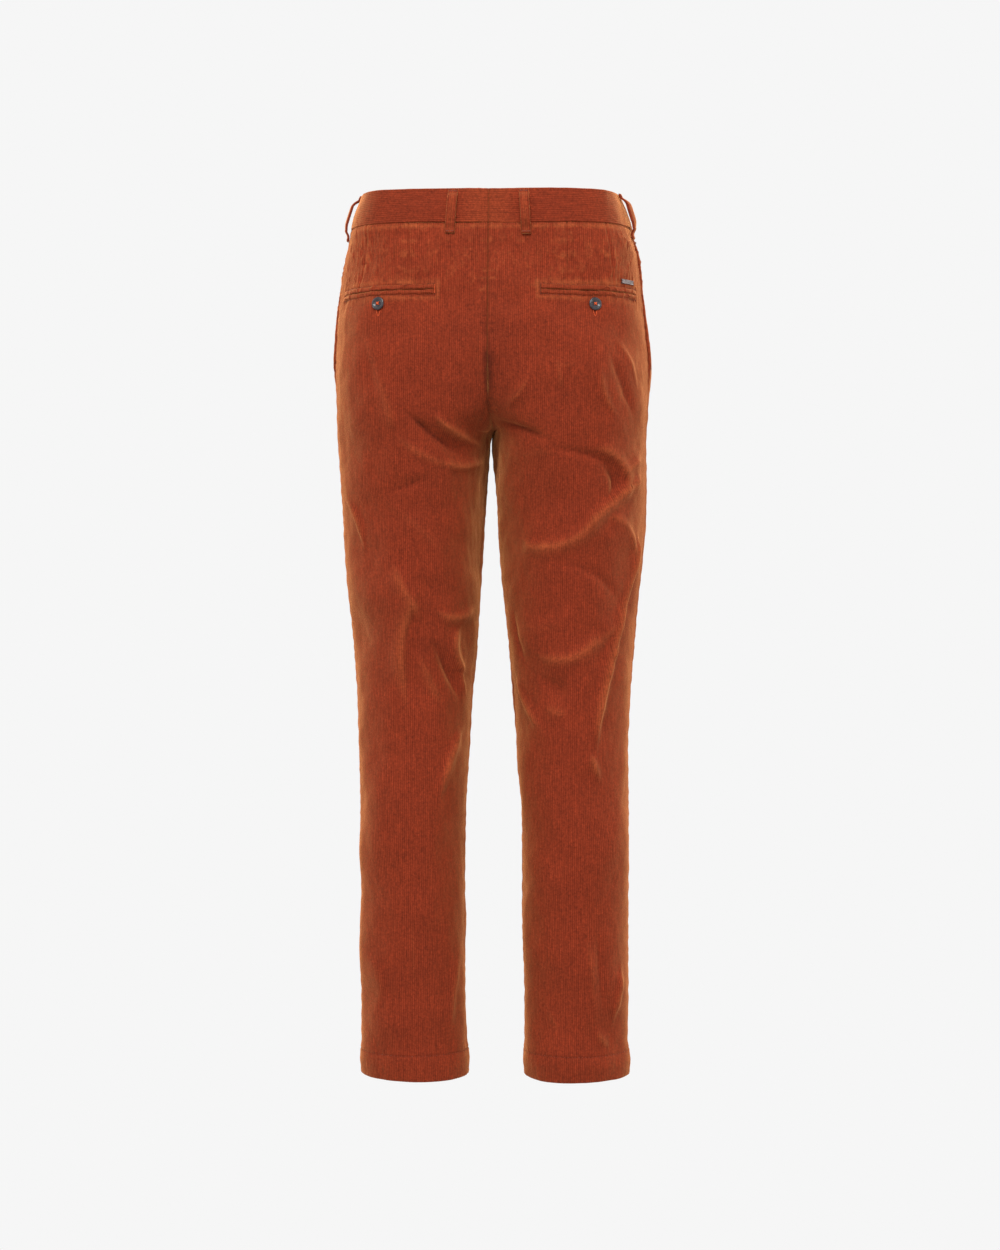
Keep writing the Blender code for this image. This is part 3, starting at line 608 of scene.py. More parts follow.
def ring(side, z):
    """The leg's rings at the heights z, as points of shape (heights, points, 2)."""
    z = np.asarray(z, float)[:, None]
    steps = np.linspace(0.0, 1.0, QUARTER_STEPS + 1)[None, :]
    outer, inner = OUTER[side](z), inner_reach(side, z)
    back, front = BACK(z), FRONT(z)
    widest = (outer, (back + front) / 2)
    back_tip = (mix(inner, outer, BACK_SHARE(z)), back)
    front_tip = (mix(inner, outer, FRONT_SHARE(z)), front)
    roundness = ease((ROUND_START - z) / (ROUND_START - CROTCH))
    back_end = (inner, centre_y(z, back, SEAT_FALL))
    front_end = (inner, centre_y(z, front, FRONT_FALL))
    front_side = outer_quarter(steps[:, :-1], front_tip, widest, SQUARE_FRONT(z))
    quarters = (
        [part[:, ::-1] for part in inner_quarter(steps, back_tip, back_end, roundness)],
        outer_quarter(steps[:, 1:], back_tip, widest, SQUARE_BACK(z)),
        [part[:, ::-1] for part in front_side],
        inner_quarter(steps[:, 1:], front_tip, front_end, roundness),
    )
    x = np.concatenate([quarter[0] for quarter in quarters], axis=1)
    y = np.concatenate([quarter[1] for quarter in quarters], axis=1)
    return np.stack([side * x, y], axis=-1)


def softened(heights, rings):
    """Rings with the turn of the seat over the thigh eased, but not at the seams between legs."""
    spacing = np.gradient(heights)
    weights = np.exp(-(((heights[:, None] - heights) / CROTCH_SOFT) ** 2)) * spacing
    soft = np.tensordot(weights / weights.sum(axis=1, keepdims=True), rings, 1)
    steps = np.arange(rings.shape[1])
    from_end = np.minimum(steps, steps[::-1]) / QUARTER_STEPS
    share = ease(from_end / 0.40) * bump(heights - CROTCH, CROTCH_REACH)[:, None]
    return rings + share[..., None] * (soft - rings)


def distances(rings):
    """The distance round each ring to each of its points."""
    steps = np.linalg.norm(np.diff(rings, axis=1), axis=2)
    return np.concatenate([np.zeros((len(rings), 1)), np.cumsum(steps, axis=1)], axis=1)


class LegForm:
    """One leg's smooth form as a table of rings, closely spaced near the crotch. Past either
    end, a ring carries on round the other leg above the crotch, and round again below it."""

    def __init__(self, side):
        self.side = side
        near = np.geomspace(0.00002, 0.0016, 9)
        even = np.arange(HEM - 0.020, BAND_TOP + 0.012, FORM_STEP)
        self.heights = np.unique(np.concatenate([even, CROTCH - near, CROTCH + near, [CROTCH]]))
        rings, other = (softened(self.heights, ring(s, self.heights)) for s in (side, -side))
        rounds, other_rounds = distances(rings), distances(other)
        above = (self.heights > CROTCH)[:, None]
        m = FORM_MARGIN
        total, other_total = rounds[:, -1:], other_rounds[:, -1:]
        before = np.where(above[..., None], other[:, m:0:-1], rings[:, -m - 1:-1])
        after = np.where(above[..., None], other[:, -2:-m - 2:-1], rings[:, 1:m + 1])
        before_rounds = np.where(above, -other_rounds[:, m:0:-1], rounds[:, -m - 1:-1] - total)
        tail = other_total - other_rounds[:, -2:-m - 2:-1]
        after_rounds = total + np.where(above, tail, rounds[:, 1:m + 1])
        self.points = np.concatenate([before, rings, after], axis=1)
        self.rounds = np.concatenate([before_rounds, rounds, after_rounds], axis=1)
        self.girths = rounds[:, -1]
        half = slice(QUARTER_STEPS, 3 * QUARTER_STEPS + 1)
        self.seams = np.array([
            np.interp(-seam, -points[half, 1], along[half])
            for seam, points, along in zip(SEAM_Y(self.heights), rings, rounds)
        ])
        self.rings, self.ring_rounds = rings, rounds

    def girth(self, z):
        return np.interp(z, self.heights, self.girths)

    def seam(self, z):
        return np.interp(z, self.heights, self.seams)

    def between(self, z):
        """The table's row below each height, and the share of the way to the next one."""
        row = np.clip(np.searchsorted(self.heights, z, side="right") - 1, 0, len(self.heights) - 2)
        return row, (z - self.heights[row]) / (self.heights[row + 1] - self.heights[row])

    def at_x(self, x, z, on_back=True):
        """The distance round at the heights z to the points x out from the middle."""
        x, z = matched(x, z)
        half = 2 * QUARTER_STEPS
        reach = slice(0, half + 1) if on_back else slice(half, None)
        row, share = self.between(z)
        found = []
        for rows in (row.ravel(), row.ravel() + 1):
            for out, i in zip(x.ravel(), rows):
                outward = np.abs(self.rings[i, reach, 0])
                order = np.argsort(outward)
                found.append(np.interp(out, outward[order], self.ring_rounds[i, reach][order]))
        low, high = np.array(found).reshape((2,) + z.shape)
        return mix(low, high, share)

    def place(self, along, z):
        """Points of the smooth form, by their distance round and their height."""
        along, z = matched(along, z)
        row, share = self.between(z)
        low = np.zeros(z.shape, int)
        high = np.full(z.shape, self.rounds.shape[1] - 1)
        for _ in range(SEARCH_STEPS):
            middle = (low + high) // 2
            reach = mix(self.rounds[row, middle], self.rounds[row + 1, middle], share)
            past = reach > along
            high = np.where(past, middle, high)
            low = np.where(past, low, middle)
        start = mix(self.rounds[row, low], self.rounds[row + 1, low], share)
        end = mix(self.rounds[row, high], self.rounds[row + 1, high], share)
        step = np.clip((along - start) / np.maximum(end - start, 1e-9), 0.0, 1.0)[..., None]
        share = share[..., None]
        near = mix(self.points[row, low], self.points[row, high], step)
        far = mix(self.points[row + 1, low], self.points[row + 1, high], step)
        return np.concatenate([mix(near, far, share), z[..., None]], axis=-1)

    def outward(self, along, z):
        """Directions out of the smooth form. The side seam is what neighbouring heights are
        lined up by, except where that would lead past the centre seam or the inseam."""
        along, z = matched(along, z)
        ends, room = [], np.minimum(along, self.girth(z) - along)
        for height in (z - SLOPE_REACH, z + SLOPE_REACH):
            moved = along + self.seam(height) - self.seam(z)
            room = np.minimum(room, np.minimum(moved, self.girth(height) - moved))
            ends.append(self.place(moved, height))
        across = self.place(along + SLOPE_REACH, z) - self.place(along - SLOPE_REACH, z)
        down = ends[0] - ends[1]
        level = np.maximum(ease(room / 0.02), ease((np.abs(z - CROTCH) - 0.008) / 0.035))
        down[..., :2] *= level[..., None]
        normals = np.cross(across, down) * self.side
        return normals / np.linalg.norm(normals, axis=-1, keepdims=True)


FORMS = {side: LegForm(side) for side in (LEFT, RIGHT)}


# ---- Folds, seams and unevenness ----


def fold_line(form, fold, on_back):
    """A fold's bent line as (distance from the side seam, height) points."""
    t = np.linspace(0.0, 1.0, FOLD_STEPS + 1)
    turn_x = 2 * fold.x2 - (fold.x1 + fold.x3) / 2
    turn_z = 2 * fold.z2 - (fold.z1 + fold.z3) / 2
    x = (1 - t) ** 2 * fold.x1 + 2 * t * (1 - t) * turn_x + t**2 * fold.x3
    z = (1 - t) ** 2 * fold.z1 + 2 * t * (1 - t) * turn_z + t**2 * fold.z3
    return np.stack([form.at_x(x, z, on_back) - form.seam(z), z], axis=1)


def runs_on(fold, end, table):
    """Whether another fold of the same kind carries on from this end of a fold."""
    return any(
        row is not fold and row.height * fold.height > 0
        and min(math.dist(end, row[0:2]), math.dist(end, row[4:6])) < FOLD_JOIN
        for row in table
    )


def beside_line(points, line):
    """Each point's distance to a line of points, its share of the way along it, and whether it
    lies on the line's upper side, which for an upright line is the side away from the middle."""
    nearest = np.full(len(points), np.inf)
    share = np.zeros(len(points))
    upper = np.zeros(len(points), bool)
    chord = line[-1] - line[0]
    turn = 1 if chord[0] - 0.5 * chord[1] >= 0 else -1
    for i, (start, end) in enumerate(zip(line[:-1], line[1:])):
        way = end - start
        t = np.clip((points - start) @ way / (way @ way), 0.0, 1.0)
        off = points - start - t[:, None] * way
        gap = np.linalg.norm(off, axis=1)
        closer = gap < nearest
        nearest[closer] = gap[closer]
        share[closer] = ((i + t) / (len(line) - 1))[closer]
        upper[closer] = (off @ (turn * np.array([-way[1], way[0]])) > 0)[closer]
    return nearest, share, upper


def waves(side, count, shortest, longest, lift):
    """Waves of seeded direction, as (turns out, turns up, phase, height) columns."""
    seeded = np.random.default_rng(CRUMPLE_SEED + count + side)
    length = np.geomspace(shortest, longest, count)
    angle = seeded.uniform(0, math.pi, count)
    phase = seeded.uniform(0, 2 * math.pi, count)
    height = lift * (length / longest) ** 1.3
    turns = 2 * math.pi / length
    return np.stack([turns * np.cos(angle), turns * np.sin(angle), phase, height], axis=1)


def painted_centre_shade(to_centre, z):
    """Painted shade over the middle of the seat, between the thighs and most in the cleft, less
    a painted highlight just under the waistband; and the mask of the cleft alone."""
    seat = bump(to_centre, 0.045) * bump(z + 0.19, 0.085, 4)
    thigh = bump(to_centre, 0.055) * bump(z + 0.30, 0.060)
    cleft = bump(to_centre, 0.011) * ease((-0.13 - z) / 0.05) * ease((z + 0.40) / 0.10)
    flat = np.maximum(0.5 * np.maximum(seat, 0.4 * thigh), cleft)
    return flat - 0.6 * bump(BAND_FOOT - 0.0040 - z, 0.0022), cleft


class Drape:
    """How far the cloth of one leg lies above its smooth form."""

    def __init__(self, form):
        self.form = form
        back = LEFT_BACK_FOLDS if form.side == LEFT else RIGHT_BACK_FOLDS
        self.folds = []
        for table, on_back in ((back, True), (FRONT_FOLDS, False)):
            for fold in table:
                run_on = [runs_on(fold, end, table) for end in (fold[0:2], fold[4:6])]
                self.folds.append((fold, fold_line(form, fold, on_back), run_on))
        self.darts = []
        for dart in DARTS:
            if dart.side == form.side:
                z = np.linspace(dart.z1, dart.z2, 5)
                x = np.linspace(dart.x1, dart.x2, 5)
                self.darts.append(np.stack([form.at_x(x, z), z], axis=1))
        self.crumple = waves(form.side, CRUMPLES, CRUMPLE_SHORT, CRUMPLE_LONG, CRUMPLE_LIFT)
        self.cockle = waves(form.side, COCKLES, COCKLE_SHORT, COCKLE_LONG, COCKLE_LIFT)

    def folded(self, along, z):
        """The lift of the folds alone, and the painted light along them: painted highlight on
        ridges and painted shade in troughs.
        """
        points = np.stack([(along - self.form.seam(z)).ravel(), z.ravel()], axis=1)
        ridge, trough, brushed_metal_and_painted_light, painted_shade = np.zeros((4, len(points)))
        for fold, line, run_on in self.folds:
            reach = 3.2 * max(fold.upper, fold.lower)
            low, high = line.min(axis=0) - reach, line.max(axis=0) + reach
            inside = np.flatnonzero(np.all((points > low) & (points < high), axis=1))
            if not inside.size:
                continue
            gap, share, upper = beside_line(points[inside], line)
            start = 1.0 if run_on[0] else ease(share / FOLD_FADE)
            end = 1.0 if run_on[1] else ease((1 - share) / FOLD_FADE)
            whole = start * end
            width = np.where(upper, fold.upper, fold.lower) * mix(0.55, 1, whole)
            crest = FOLD_CREST * np.maximum(width / FOLD_NARROW, 1)
            sharp = FOLD_SHARP + 0.7 * np.clip(width / FOLD_NARROW - 1, 0, 1)
            shape = bump(np.hypot(gap, crest) - crest, width, sharp) * mix(0.04, 1, whole)
            lift = FOLD_STRENGTH * abs(fold.height) * shape
            narrow = min(1.0, 2 * FOLD_NARROW / (fold.upper + fold.lower))
            # Painted highlight along a ridge, or painted shade along a trough, strongest where the
            # fold is narrow.
            tint = min(abs(fold.height) / FOLD_TINT, 1) * narrow**1.5 * whole
            tint = tint * bump(gap, FOLD_TINT_SHARE * width, 1.4)
            heap, painted_fold_light = (ridge, brushed_metal_and_painted_light) if fold.height > 0 else (trough, painted_shade)
            heap[inside] += lift**FOLD_BLEND
            painted_fold_light[inside] += tint**FOLD_BLEND
        root = 1 / FOLD_BLEND
        lift = ridge**root - trough**root
        return lift.reshape(z.shape), (brushed_metal_and_painted_light**root - painted_shade**root).reshape(z.shape)

    def crumpled(self, along, z):
        """Slow waves everywhere, and short cockles round the pockets, the centre and the hem, with
        the cockles' painted light: painted highlight where each rises, painted shade where it
        falls.
        """
        out = along - self.form.seam(z)
        near = bump(z + 0.062, 0.052, 6) + 0.5 * bump(np.minimum(along, 0.2), 0.016)
        near = np.minimum(near + 0.4 * bump(z - HEM - 0.02, 0.03), 1)
        slow, short = (
            sum(rise * np.sin(turns_x * out + turns_z * z + phase)
                for turns_x, turns_z, phase, rise in table)
            for table in (self.crumple, self.cockle)
        )
        rise = short / COCKLE_LIFT
        crease = bump(rise, COCKLE_CREASE)
        lift = slow + COCKLE_REST * short + near * COCKLE_LIFT * (2.4 * crease - 0.9)
        # Painted light of the cockles: painted highlight where each one rises, painted shade where
        # it falls.
        lit = bump(rise - 0.45, COCKLE_CREASE) - 0.8 * bump(rise + 0.45, COCKLE_CREASE)
        return lift, near * (lit + 0.15 * np.clip(rise, -2, 2))

    def seams(self, along, z):
        """Grooves, shoulders and puckers beside the seams, and the seams' own mask. It also gives
        the painted light on the puckers, painted highlight on their crests and painted shade
        between them, and painted highlight on the darts' gathers.
        """
        to_centre = np.minimum(along, self.form.girth(z) - along)
        to_side = np.abs(along - self.form.seam(z))
        near = np.minimum(np.abs(to_centre), to_side)
        lift = SHOULDER_LIFT * bump(near - SHOULDER_OUT, SHOULDER_WIDTH)
        lift -= GROOVE_DEPTH * bump(near, GROOVE_WIDTH, 1.4)
        wobble = np.sin(z * 410 + 3 * np.sin(z * 37)) + 0.6 * np.sin(z * 233 + 1.3)
        lift += PUCKER_LIFT * wobble * bump(near - 0.5 * PUCKER_REACH, PUCKER_REACH)
        ticks = np.sin(z * 620 + 2.5 * np.sin(z * 90) + near * 60)
        ticks *= bump(z + 0.085, 0.060, 4) * (0.7 + 0.3 * np.sin(z * 131 + 1.0))
        ticks *= bump(to_centre - 0.6 * TICK_REACH, 0.6 * TICK_REACH)
        lift += TICK_LIFT * ticks
        # Painted light on the puckers: painted highlight on their crests, painted shade between
        # them.
        raised = TICK_PAINTED_LIGHT * ticks
        mask = bump(near, 1.5 * GROOVE_WIDTH)
        for line in self.darts:
            low, high = line.min(axis=0) - 0.012, line.max(axis=0) + 0.012
            inside = (along > low[0]) & (along < high[0]) & (z > low[1]) & (z < high[1])
            if not inside.any():
                continue
            points = np.stack([along[inside], z[inside]], axis=1)
            gap = beside_line(points, line)[0]
            shoulder = DART_SHOULDER * bump(gap - 0.003, 0.0018)
            lift[inside] += shoulder - DART_DEPTH * bump(gap, DART_WIDTH)
            mask[inside] = np.maximum(mask[inside], 0.5 * bump(gap, DART_WIDTH))
            down = points[:, 1]
            gathers = np.clip(np.sin(down * 540 + gap * 90 + 2 * np.sin(down * 170)), 0, 1)
            gathers *= bump(gap - 0.005, 0.005)
            lift[inside] += DART_GATHER * gathers
            # Painted highlight on the crests of the gathers.
            raised[inside] += DART_PAINTED_LIGHT * gathers
        return lift, mask, to_centre, to_side, raised

    def relief(self, along, z, sewn_z=None):
        """The cloth's lift, its painted light from 1 for painted highlight to -1 for painted shade,
        and the seams' mask. sewn_z is the height before the hem's slant lifts it."""
        along, z = matched(along, z)
        sewn_z = z if sewn_z is None else sewn_z
        groove, mask, to_centre, to_side, raised = self.seams(along, z)
        held = mix(SEAM_EASE, INSEAM_EASE, ease((CROTCH + 0.01 - z) / 0.05))
        least = mix(0.4, 0.12, ease((CROTCH - 0.02 - z) / 0.05))
        taut = mix(least, 1, ease(to_centre / held)) * mix(0.3, 1, ease(to_side / SIDE_EASE))
        taut = taut * ease((BAND_FOOT - z) / 0.02)
        free = ease((sewn_z - HEM) / HEM_DEPTH - 0.6)
        folds, brushed_metal_and_painted_light = self.folded(along, z)
        lift = folds * taut * mix(0.25, 1, free)
        loose = mix(0.3, 1, taut) * mix(0.35, 1, ease(to_side / 0.045)) * ease(to_centre / 0.012)
        crumple, cockle_painted_light = self.crumpled(along, z)
        lift += crumple * loose
        lift += groove + BAND_RIDGE * bump(BAND_FOOT - 0.0045 - z, 0.0028)
        below = sewn_z - (HEM + HEM_DEPTH)
        lift -= HEM_GROOVE * bump(below, HEM_GROOVE_WIDTH)
        lift += HEM_PUFF * bump(below + 0.010, 0.009)
        mask = np.maximum(mask, bump(below, 1.5 * HEM_GROOVE_WIDTH))
        button_along, button_z = button_place(self.form.side)
        lift -= BUTTON_DENT * bump(np.hypot(along - button_along, z - button_z), BUTTON_DENT_WIDTH)
        # Painted shade over the seat's middle and in the cleft, less a painted highlight under the
        # band.
        painted_shade, cleft = painted_centre_shade(to_centre, z)
        lift += CLEFT_FILL * cleft * ease((z - CROTCH) / 0.03)
        # Painted light: painted highlight on ridges, cockles, puckers and gathers, painted shade in
        # troughs, over the middle of the seat and in the cleft.
        brushed_metal_and_painted_light = brushed_metal_and_painted_light * mix(0.3, 1, free) - painted_shade + 0.36 * cockle_painted_light + raised
        return lift, np.clip(brushed_metal_and_painted_light, -1, 1), mask


def pocket_line(side, share):
    """Distance round and height along a back pocket's mouth, from its inner end outwards."""
    start = FORMS[side].at_x(WELT_INNER_X, WELT_Z)
    return start + WELT_LENGTH * share, WELT_Z - WELT_DROP * share


def button_place(side):
    along, z = pocket_line(side, BUTTON_SHARE)
    return float(along), float(z - BUTTON_DROP)


DRAPES = {side: Drape(form) for side, form in FORMS.items()}


def on_cloth(side, along, z, lift=0.0):
    """Points on the draped cloth, or above it by the lift."""
    along, z = matched(along, z)
    return above_form(side, along, z, DRAPES[side].relief(along, z)[0] + lift)


def above_form(side, along, z, lift):
    """Points that stand off the smooth form by the lift."""
    form = FORMS[side]
    lift = np.broadcast_to(lift, np.shape(z))[..., None]
    return form.place(along, z) + form.outward(along, z) * lift


# ---- Meshes ----


def add_object(name, data):
    """Puts a mesh, a light or a camera into the scene."""
    placed = bpy.data.objects.new(name, data)
    bpy.context.scene.collection.objects.link(placed)
    return placed


def mesh_of(shape, name):
    """A mesh from a bmesh, which is freed."""
    mesh = bpy.data.meshes.new(name)
    shape.to_mesh(mesh)
    shape.free()
    return mesh


def baked(piece, modifier):
    """Makes a piece the plain mesh that its modifier turns it into."""
    seen = piece.evaluated_get(bpy.context.evaluated_depsgraph_get())
    made = bpy.data.meshes.new_from_object(seen)
    piece.modifiers.remove(modifier)
    rough = piece.data
    piece.data = made
    bpy.data.meshes.remove(rough)
    made.name = piece.name
    if not made.polygons:
        raise RuntimeError(piece.name + " came out empty")
    made.shade_smooth()
    return piece


def add_piece(name, vertices, faces, materials, values=None, grain=None, inside=None):
    """A smooth mesh with per-vertex values, a grain map in metres and marked inside faces."""
    mesh = bpy.data.meshes.new(name)
    mesh.from_pydata(vertices, [], faces)
    for key, numbers in (values or {}).items():
        layer = mesh.attributes.new(key, "FLOAT", "POINT")
        layer.data.foreach_set("value", np.asarray(numbers, np.float32))
    if grain is not None:
        corners = np.empty(len(mesh.loops), np.int32)
        mesh.loops.foreach_get("vertex_index", corners)
        layer = mesh.uv_layers.new(name="grain")
        layer.data.foreach_set("uv", np.asarray(grain, np.float32)[corners].ravel())
    if inside is not None:
        layer = mesh.attributes.new("inside", "BOOLEAN", "FACE")
        layer.data.foreach_set("value", inside)
    for material in materials:
        mesh.materials.append(material)
    mesh.shade_smooth()
    return add_object(name, mesh)


def turned_outwards(vertices, faces):
    """Faces of a closed shell, all turned over if they point inwards."""
    faces = [tuple(int(n) for n in face) for face in faces]
    corners = np.array([(f[0], f[i], f[i + 1]) for f in faces for i in range(1, len(f) - 1)])
    a, b, c = (vertices[corners[:, k]] for k in range(3))
    volume = np.einsum("ij,ij->", a, np.cross(b, c))
    return [face[::-1] for face in faces] if volume < 0 else faces


def zip_rows(first, second, first_at, second_at, forward):
    """Triangles that close the strip between two rows of vertices with positions along it."""
    steps = [(at, False) for at in first_at[1:]] + [(at, True) for at in second_at[1:]]
    triangles, i, j = [], 0, 0
    for _, on_second in sorted(steps):
        if on_second:
            triangles.append((first[i], second[j + 1], second[j]))
            j += 1
        else:
            triangles.append((first[i], first[i + 1], second[j]))
            i += 1
    return triangles if forward else [triangle[::-1] for triangle in triangles]


def row_faces(upper, lower):
    """Faces between two rows of vertex numbers, where columns past an edge share its vertex."""
    corners = zip(upper[:-1], lower[:-1], lower[1:], upper[1:])
    faces = [list(dict.fromkeys(four)) for four in corners]
    return [face for face in faces if len(face) > 2]


def grid_faces(numbers, turned=False):
    """Faces over a grid of vertex numbers. Turned ones face the other way."""
    corners = [numbers[:-1, :-1], numbers[1:, :-1], numbers[1:, 1:], numbers[:-1, 1:]]
    if turned:
        corners = corners[:1] + corners[:0:-1]
    return np.stack(corners, axis=-1).reshape(-1, 4).tolist()


def grid_wall(outer, inner):
    """Vertices, faces and inside marks of a closed wall between two grids of points of shape
    (rows, columns, 3)."""
    rows, columns = outer.shape[:2]
    vertices = np.concatenate([outer.reshape(-1, 3), inner.reshape(-1, 3)])
    top = np.arange(rows * columns).reshape(rows, columns)
    under = top + rows * columns
    cells = grid_faces(top)
    rim = []
    for edge, inner_edge in (
        (top[0], under[0]), (top[:, -1], under[:, -1]),
        (top[-1, ::-1], under[-1, ::-1]), (top[::-1, 0], under[::-1, 0]),
    ):
        rim += zip(edge[:-1], edge[1:], inner_edge[1:], inner_edge[:-1])
    faces = turned_outwards(vertices, cells + grid_faces(under, True) + rim)
    inside = [False] * len(cells) + [True] * len(cells) + [False] * len(rim)
    return vertices, faces, inside


# ---- Geometry Nodes ----


def new_tree(name, inputs, outputs, kind="GeometryNodeTree"):
    """A node tree with these sockets, each a name and a type, and what its inputs give."""
    tree = bpy.data.node_groups.new(name, kind)
    for way, sockets in (("INPUT", inputs), ("OUTPUT", outputs)):
        for label, socket_type in sockets.items():
            tree.interface.new_socket(label, in_out=way, socket_type=socket_type)
    return tree, add_node(tree, "NodeGroupInput").outputs


def add_node(tree, kind, inputs=None, **settings):
    """A node with its settings, and its inputs given by name or number as values or links."""
    node = tree.nodes.new(kind)
    for key, value in settings.items():
        setattr(node, key, value)
    for key, value in (inputs or {}).items():
        if isinstance(value, bpy.types.NodeSocket):
            tree.links.new(value, node.inputs[key])
        else:
            node.inputs[key].default_value = value
    return node


def result(tree, kind, inputs=None, **settings):
    """What a node's first output gives."""
    return add_node(tree, kind, inputs, **settings).outputs[0]


def maths(tree, operation, *values):
    return result(tree, "ShaderNodeMath", dict(enumerate(values)), operation=operation)


def scaled(tree, vector, factor):
    """A vector or a colour times a number."""
    inputs = {0: vector, "Scale": factor}
    return result(tree, "ShaderNodeVectorMath", inputs, operation="SCALE")


def named_value(tree, name, data_type="FLOAT"):
    node = add_node(tree, "GeometryNodeInputNamedAttribute", {"Name": name}, data_type=data_type)
    return node.outputs["Attribute"]


def in_material(tree, shape, material, selection=True):
    """Geometry with a material on all of it, or on the selected faces."""
    inputs = {"Geometry": shape, "Material": material, "Selection": selection}
    return result(tree, "GeometryNodeSetMaterial", inputs)


def from_crest(tree, turns):
    """0 along the middle of a cord and 1 between two, from a distance counted in cords."""
    share = maths(tree, "FRACT", turns)
    return maths(tree, "ABSOLUTE", maths(tree, "MULTIPLY_ADD", share, 2.0, -1.0))


GEOMETRY = "NodeSocketGeometry"
FLOAT = "NodeSocketFloat"
VECTOR = "NodeSocketVector"
MATERIAL = "NodeSocketMaterial"


def wale_tree():
    """Raises the cords of a cloth. "across" is each vertex's distance across the grain, and
    "wale" is 1 where a cord may stand and 0 along edges and inside."""
    tree, source = new_tree(
        "corduroy wales",
        {
            "Geometry": GEOMETRY, "Wale Pitch": FLOAT, "Wale Height": FLOAT, "Cloth": MATERIAL,
            "Inside": MATERIAL,
        },
        {"Geometry": GEOMETRY},
    )
    turns = maths(tree, "DIVIDE", named_value(tree, "across"), source["Wale Pitch"])
    off_crest = from_crest(tree, maths(tree, "ADD", turns, 0.001))
    rounding = maths(tree, "SUBTRACT", 1.0, maths(tree, "POWER", off_crest, 3.0))
    height = maths(tree, "MULTIPLY", rounding, source["Wale Height"])
    height = maths(tree, "MULTIPLY", height, named_value(tree, "wale"))
    normal = add_node(tree, "GeometryNodeInputNormal").outputs["Normal"]
    moved = {"Geometry": source["Geometry"], "Offset": scaled(tree, normal, height)}
    raised = result(tree, "GeometryNodeSetPosition", moved)
    real = result(tree, "GeometryNodeRealizeInstances", {"Geometry": raised})
    faced = in_material(tree, real, source["Cloth"])
    lined = in_material(tree, faced, source["Inside"], named_value(tree, "inside", "BOOLEAN"))
    add_node(tree, "NodeGroupOutput", {"Geometry": lined})
    return tree


def stitch_tree():
    """Lays one plump stitch along every edge of a mesh. "way" is the edge's own vector."""
    tree, source = new_tree(
        "thread stitches",
        {
            "Geometry": GEOMETRY, "Thread Width": FLOAT, "Filled Share": FLOAT,
            "Thread": MATERIAL,
        },
        {"Geometry": GEOMETRY},
    )
    spots = result(tree, "GeometryNodeMeshToPoints", {"Mesh": source["Geometry"]}, mode="EDGES")
    way = named_value(tree, "way", "FLOAT_VECTOR")
    length = add_node(tree, "ShaderNodeVectorMath", {0: way}, operation="LENGTH")
    half = maths(tree, "MULTIPLY", length.outputs["Value"], source["Filled Share"])
    half = maths(tree, "MULTIPLY", half, 0.5)
    thick = maths(tree, "MULTIPLY", source["Thread Width"], 0.5)
    size = result(tree, "ShaderNodeCombineXYZ", {"X": thick, "Y": thick, "Z": half})
    turn = result(tree, "FunctionNodeAlignRotationToVector", {"Vector": way}, axis="Z")
    ball = {"Segments": 7, "Rings": 6, "Radius": 1.0}
    stitch = result(tree, "GeometryNodeMeshUVSphere", ball)
    laying = {"Points": spots, "Instance": stitch, "Rotation": turn, "Scale": size}
    laid = result(tree, "GeometryNodeInstanceOnPoints", laying)
    real = result(tree, "GeometryNodeRealizeInstances", {"Geometry": laid})
    threaded = in_material(tree, real, source["Thread"])
    add_node(tree, "NodeGroupOutput", {"Geometry": threaded})
    return tree


def shared_tree(name, make):
    return bpy.data.node_groups.get(name) or make()


def applied(piece, tree, values):
    """The piece as a plain mesh, after a tree with these input values has worked on it."""
    modifier = piece.modifiers.new(tree.name, "NODES")
    modifier.node_group = tree
    for item in tree.interface.items_tree:
        if item.item_type == "SOCKET" and item.in_out == "INPUT" and item.name in values:
            modifier[item.identifier] = values[item.name]
    return baked(piece, modifier)


def raise_wales(piece):
    """Cords on a cloth piece, which also gives it its two faces' finishes."""
    values = {
        "Wale Pitch": cloth().wale_pitch, "Wale Height": cloth().wale_height,
        "Cloth": corduroy(), "Inside": corduroy_inside(),
    }
    return applied(piece, shared_tree("corduroy wales", wale_tree), values)


def stitched(name, stretches, thread, filled=1.0, width_share=1.0):
    """One piece from stretches of stitches, each a list of (start, end) points."""
    pairs = np.array([pair for stretch in stretches for pair in stretch], float)
    mesh = bpy.data.meshes.new(name)
    edges = [(2 * i, 2 * i + 1) for i in range(len(pairs))]
    mesh.from_pydata(pairs.reshape(-1, 3), edges, [])
    layer = mesh.attributes.new("way", "FLOAT_VECTOR", "EDGE")
    layer.data.foreach_set("vector", (pairs[:, 1] - pairs[:, 0]).astype(np.float32).ravel())
    values = {
        "Thread Width": trims().thread_width * width_share, "Filled Share": filled,
        "Thread": thread,
    }
    return applied(add_object(name, mesh), shared_tree("thread stitches", stitch_tree), values)


def stitch_row(points, length):
    """Stitches of about that length end to end along a line of points."""
    points = np.asarray(points, float)
    steps = np.linalg.norm(np.diff(points, axis=0), axis=1)
    reach = np.concatenate([[0], np.cumsum(steps)])
    count = max(1, round(reach[-1] / length))
    at = np.linspace(0, reach[-1], count + 1)
    line = np.stack([np.interp(at, reach, points[:, k]) for k in range(3)], axis=1)
    return list(zip(line[:-1], line[1:]))


def satin_bar(start, end, width, outward, count):
    """Close stitches that lie across a short bar."""
    across = np.cross(outward, end - start)
    across *= width / 2 / np.linalg.norm(across)
    middles = [mix(start, end, (i + 0.5) / count) for i in range(count)]
    return [(middle - across, middle + across) for middle in middles]


# ---- Materials ----


def object_place(tree):
    return add_node(tree, "ShaderNodeTexCoord").outputs["Object"]


